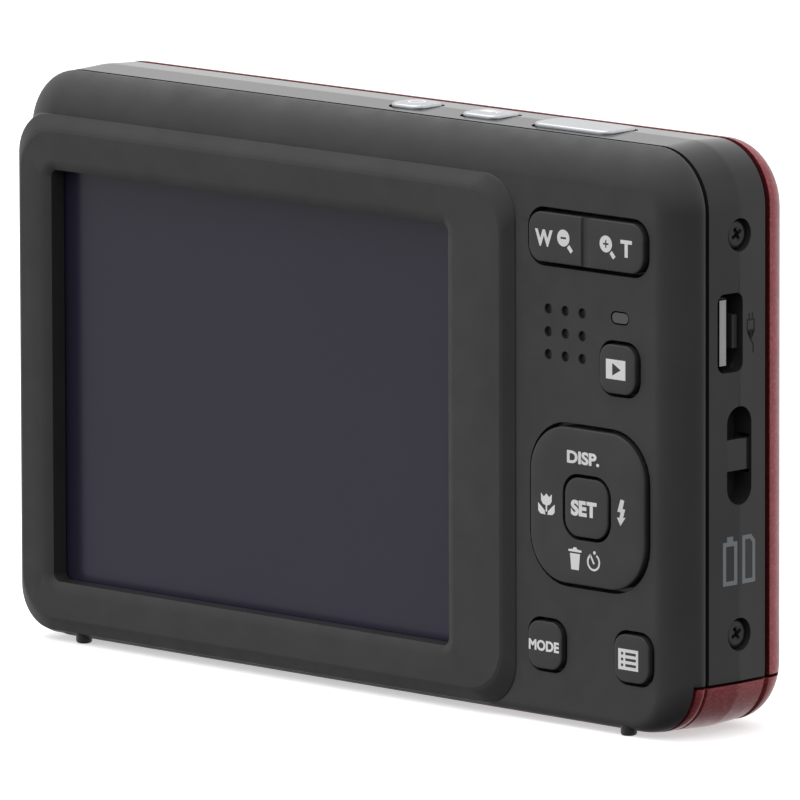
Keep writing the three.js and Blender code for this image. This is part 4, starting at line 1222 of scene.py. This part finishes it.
# The photograph's view, in degrees, metres and lens millimetres
AZIMUTH = math.radians(44.523)
ELEVATION = math.radians(8.968)
ROLL = math.radians(-0.172)
TARGET = Vector((-0.000597, 0.0026, 0.027696))
DISTANCE = 1.4517
FOCAL_LENGTH = 672.57
TOWARDS_VIEWER = Vector((-math.sin(AZIMUTH), math.cos(AZIMUTH), 0))
FLOOR_RADIUS = 3.0
FLOOR_GLOW = 0.5
STUDIO_STRENGTH = 1.6
OVERHEAD_WATTS = 4.2
OVERHEAD_SIZE = 1.0

# The studio's brightness from its darkest direction (0) to its brightest (1)
STUDIO_LEVELS = (
    (0.0, 0.04),
    (0.235, 0.19),
    (0.305, 0.22),
    (0.43, 0.6),
    (0.65, 0.62),
    (0.81, 0.6),
    (1.0, 0.8),
)


def floor():
    """A wide sheet of white paper that throws no light back up at the object on it."""
    mesh = bpy.data.meshes.new("floor")
    rim = [(x, y, 0.0) for x, y in circle(0.0, 0.0, FLOOR_RADIUS, 64)]
    mesh.from_pydata(rim, [], [tuple(range(len(rim)))])
    obj = bpy.data.objects.new("floor", mesh)
    obj.visible_diffuse = False
    obj.visible_glossy = False
    scene.collection.objects.link(obj)
    m = Nodes("floor_paper")
    paper = m.to(
        Base_Color=m.ramp(m.noise(6.0), (0.0, (0.88, 0.88, 0.88)), (1.0, (0.9, 0.9, 0.9))),
        Emission_Color=(1, 1, 1, 1),
        Emission_Strength=FLOOR_GLOW,
        Roughness=0.9,
        Specular_IOR_Level=0.0,
    )
    mesh.materials.append(paper)


def overhead_light():
    light = bpy.data.lights.new("overhead", "AREA")
    light.shape = "RECTANGLE"
    light.size = OVERHEAD_SIZE
    light.size_y = OVERHEAD_SIZE
    light.energy = OVERHEAD_WATTS
    obj = bpy.data.objects.new("overhead", light)
    obj.location = (0.4, 0.12, 1.0)
    obj.rotation_euler = (Vector((0, 0, 0.03)) - obj.location).to_track_quat("-Z", "Y").to_euler()
    scene.collection.objects.link(obj)


def studio():
    """A white studio, dimmer on the viewer's side and below."""
    world = bpy.data.worlds.new("studio")
    world.use_nodes = True
    tree = world.node_tree
    background = tree.nodes["Background"]
    background.inputs["Strength"].default_value = STUDIO_STRENGTH
    direction = tree.nodes.new("ShaderNodeTexCoord").outputs["Generated"]
    along = tree.nodes.new("ShaderNodeVectorMath")
    along.operation = "DOT_PRODUCT"
    along.inputs[1].default_value = Vector((0, 0, 0.85)) - 0.5 * TOWARDS_VIEWER
    tree.links.new(direction, along.inputs[0])
    scaled = tree.nodes.new("ShaderNodeMapRange")
    scaled.inputs["From Min"].default_value = -1.0
    tree.links.new(along.outputs["Value"], scaled.inputs["Value"])
    ramp = tree.nodes.new("ShaderNodeValToRGB")
    elements = ramp.color_ramp.elements
    while len(elements) < len(STUDIO_LEVELS):
        elements.new(0.5)
    for element, (position, level) in zip(elements, STUDIO_LEVELS):
        element.position = position
        element.color = (level, level, level, 1)
    tree.links.new(scaled.outputs["Result"], ramp.inputs["Fac"])
    tree.links.new(ramp.outputs["Color"], background.inputs["Color"])
    scene.world = world


def camera():
    """A long lens behind the camera, to the grip side and a little above."""
    back = TOWARDS_VIEWER * math.cos(ELEVATION) + Vector((0, 0, math.sin(ELEVATION)))
    right = Vector((0, 0, 1)).cross(back).normalized()
    up = back.cross(right)
    rolled_right = right * math.cos(ROLL) + up * math.sin(ROLL)
    rolled_up = -right * math.sin(ROLL) + up * math.cos(ROLL)
    data = bpy.data.cameras.new("photo_camera")
    data.sensor_width = 36
    data.lens = FOCAL_LENGTH
    data.clip_end = 20
    obj = bpy.data.objects.new("photo_camera", data)
    columns = Matrix((rolled_right, rolled_up, back)).transposed().to_4x4()
    obj.matrix_world = Matrix.Translation(TARGET + DISTANCE * back) @ columns
    scene.collection.objects.link(obj)
    scene.camera = obj


floor()
overhead_light()
studio()
camera()
scene.view_settings.view_transform = "Standard"
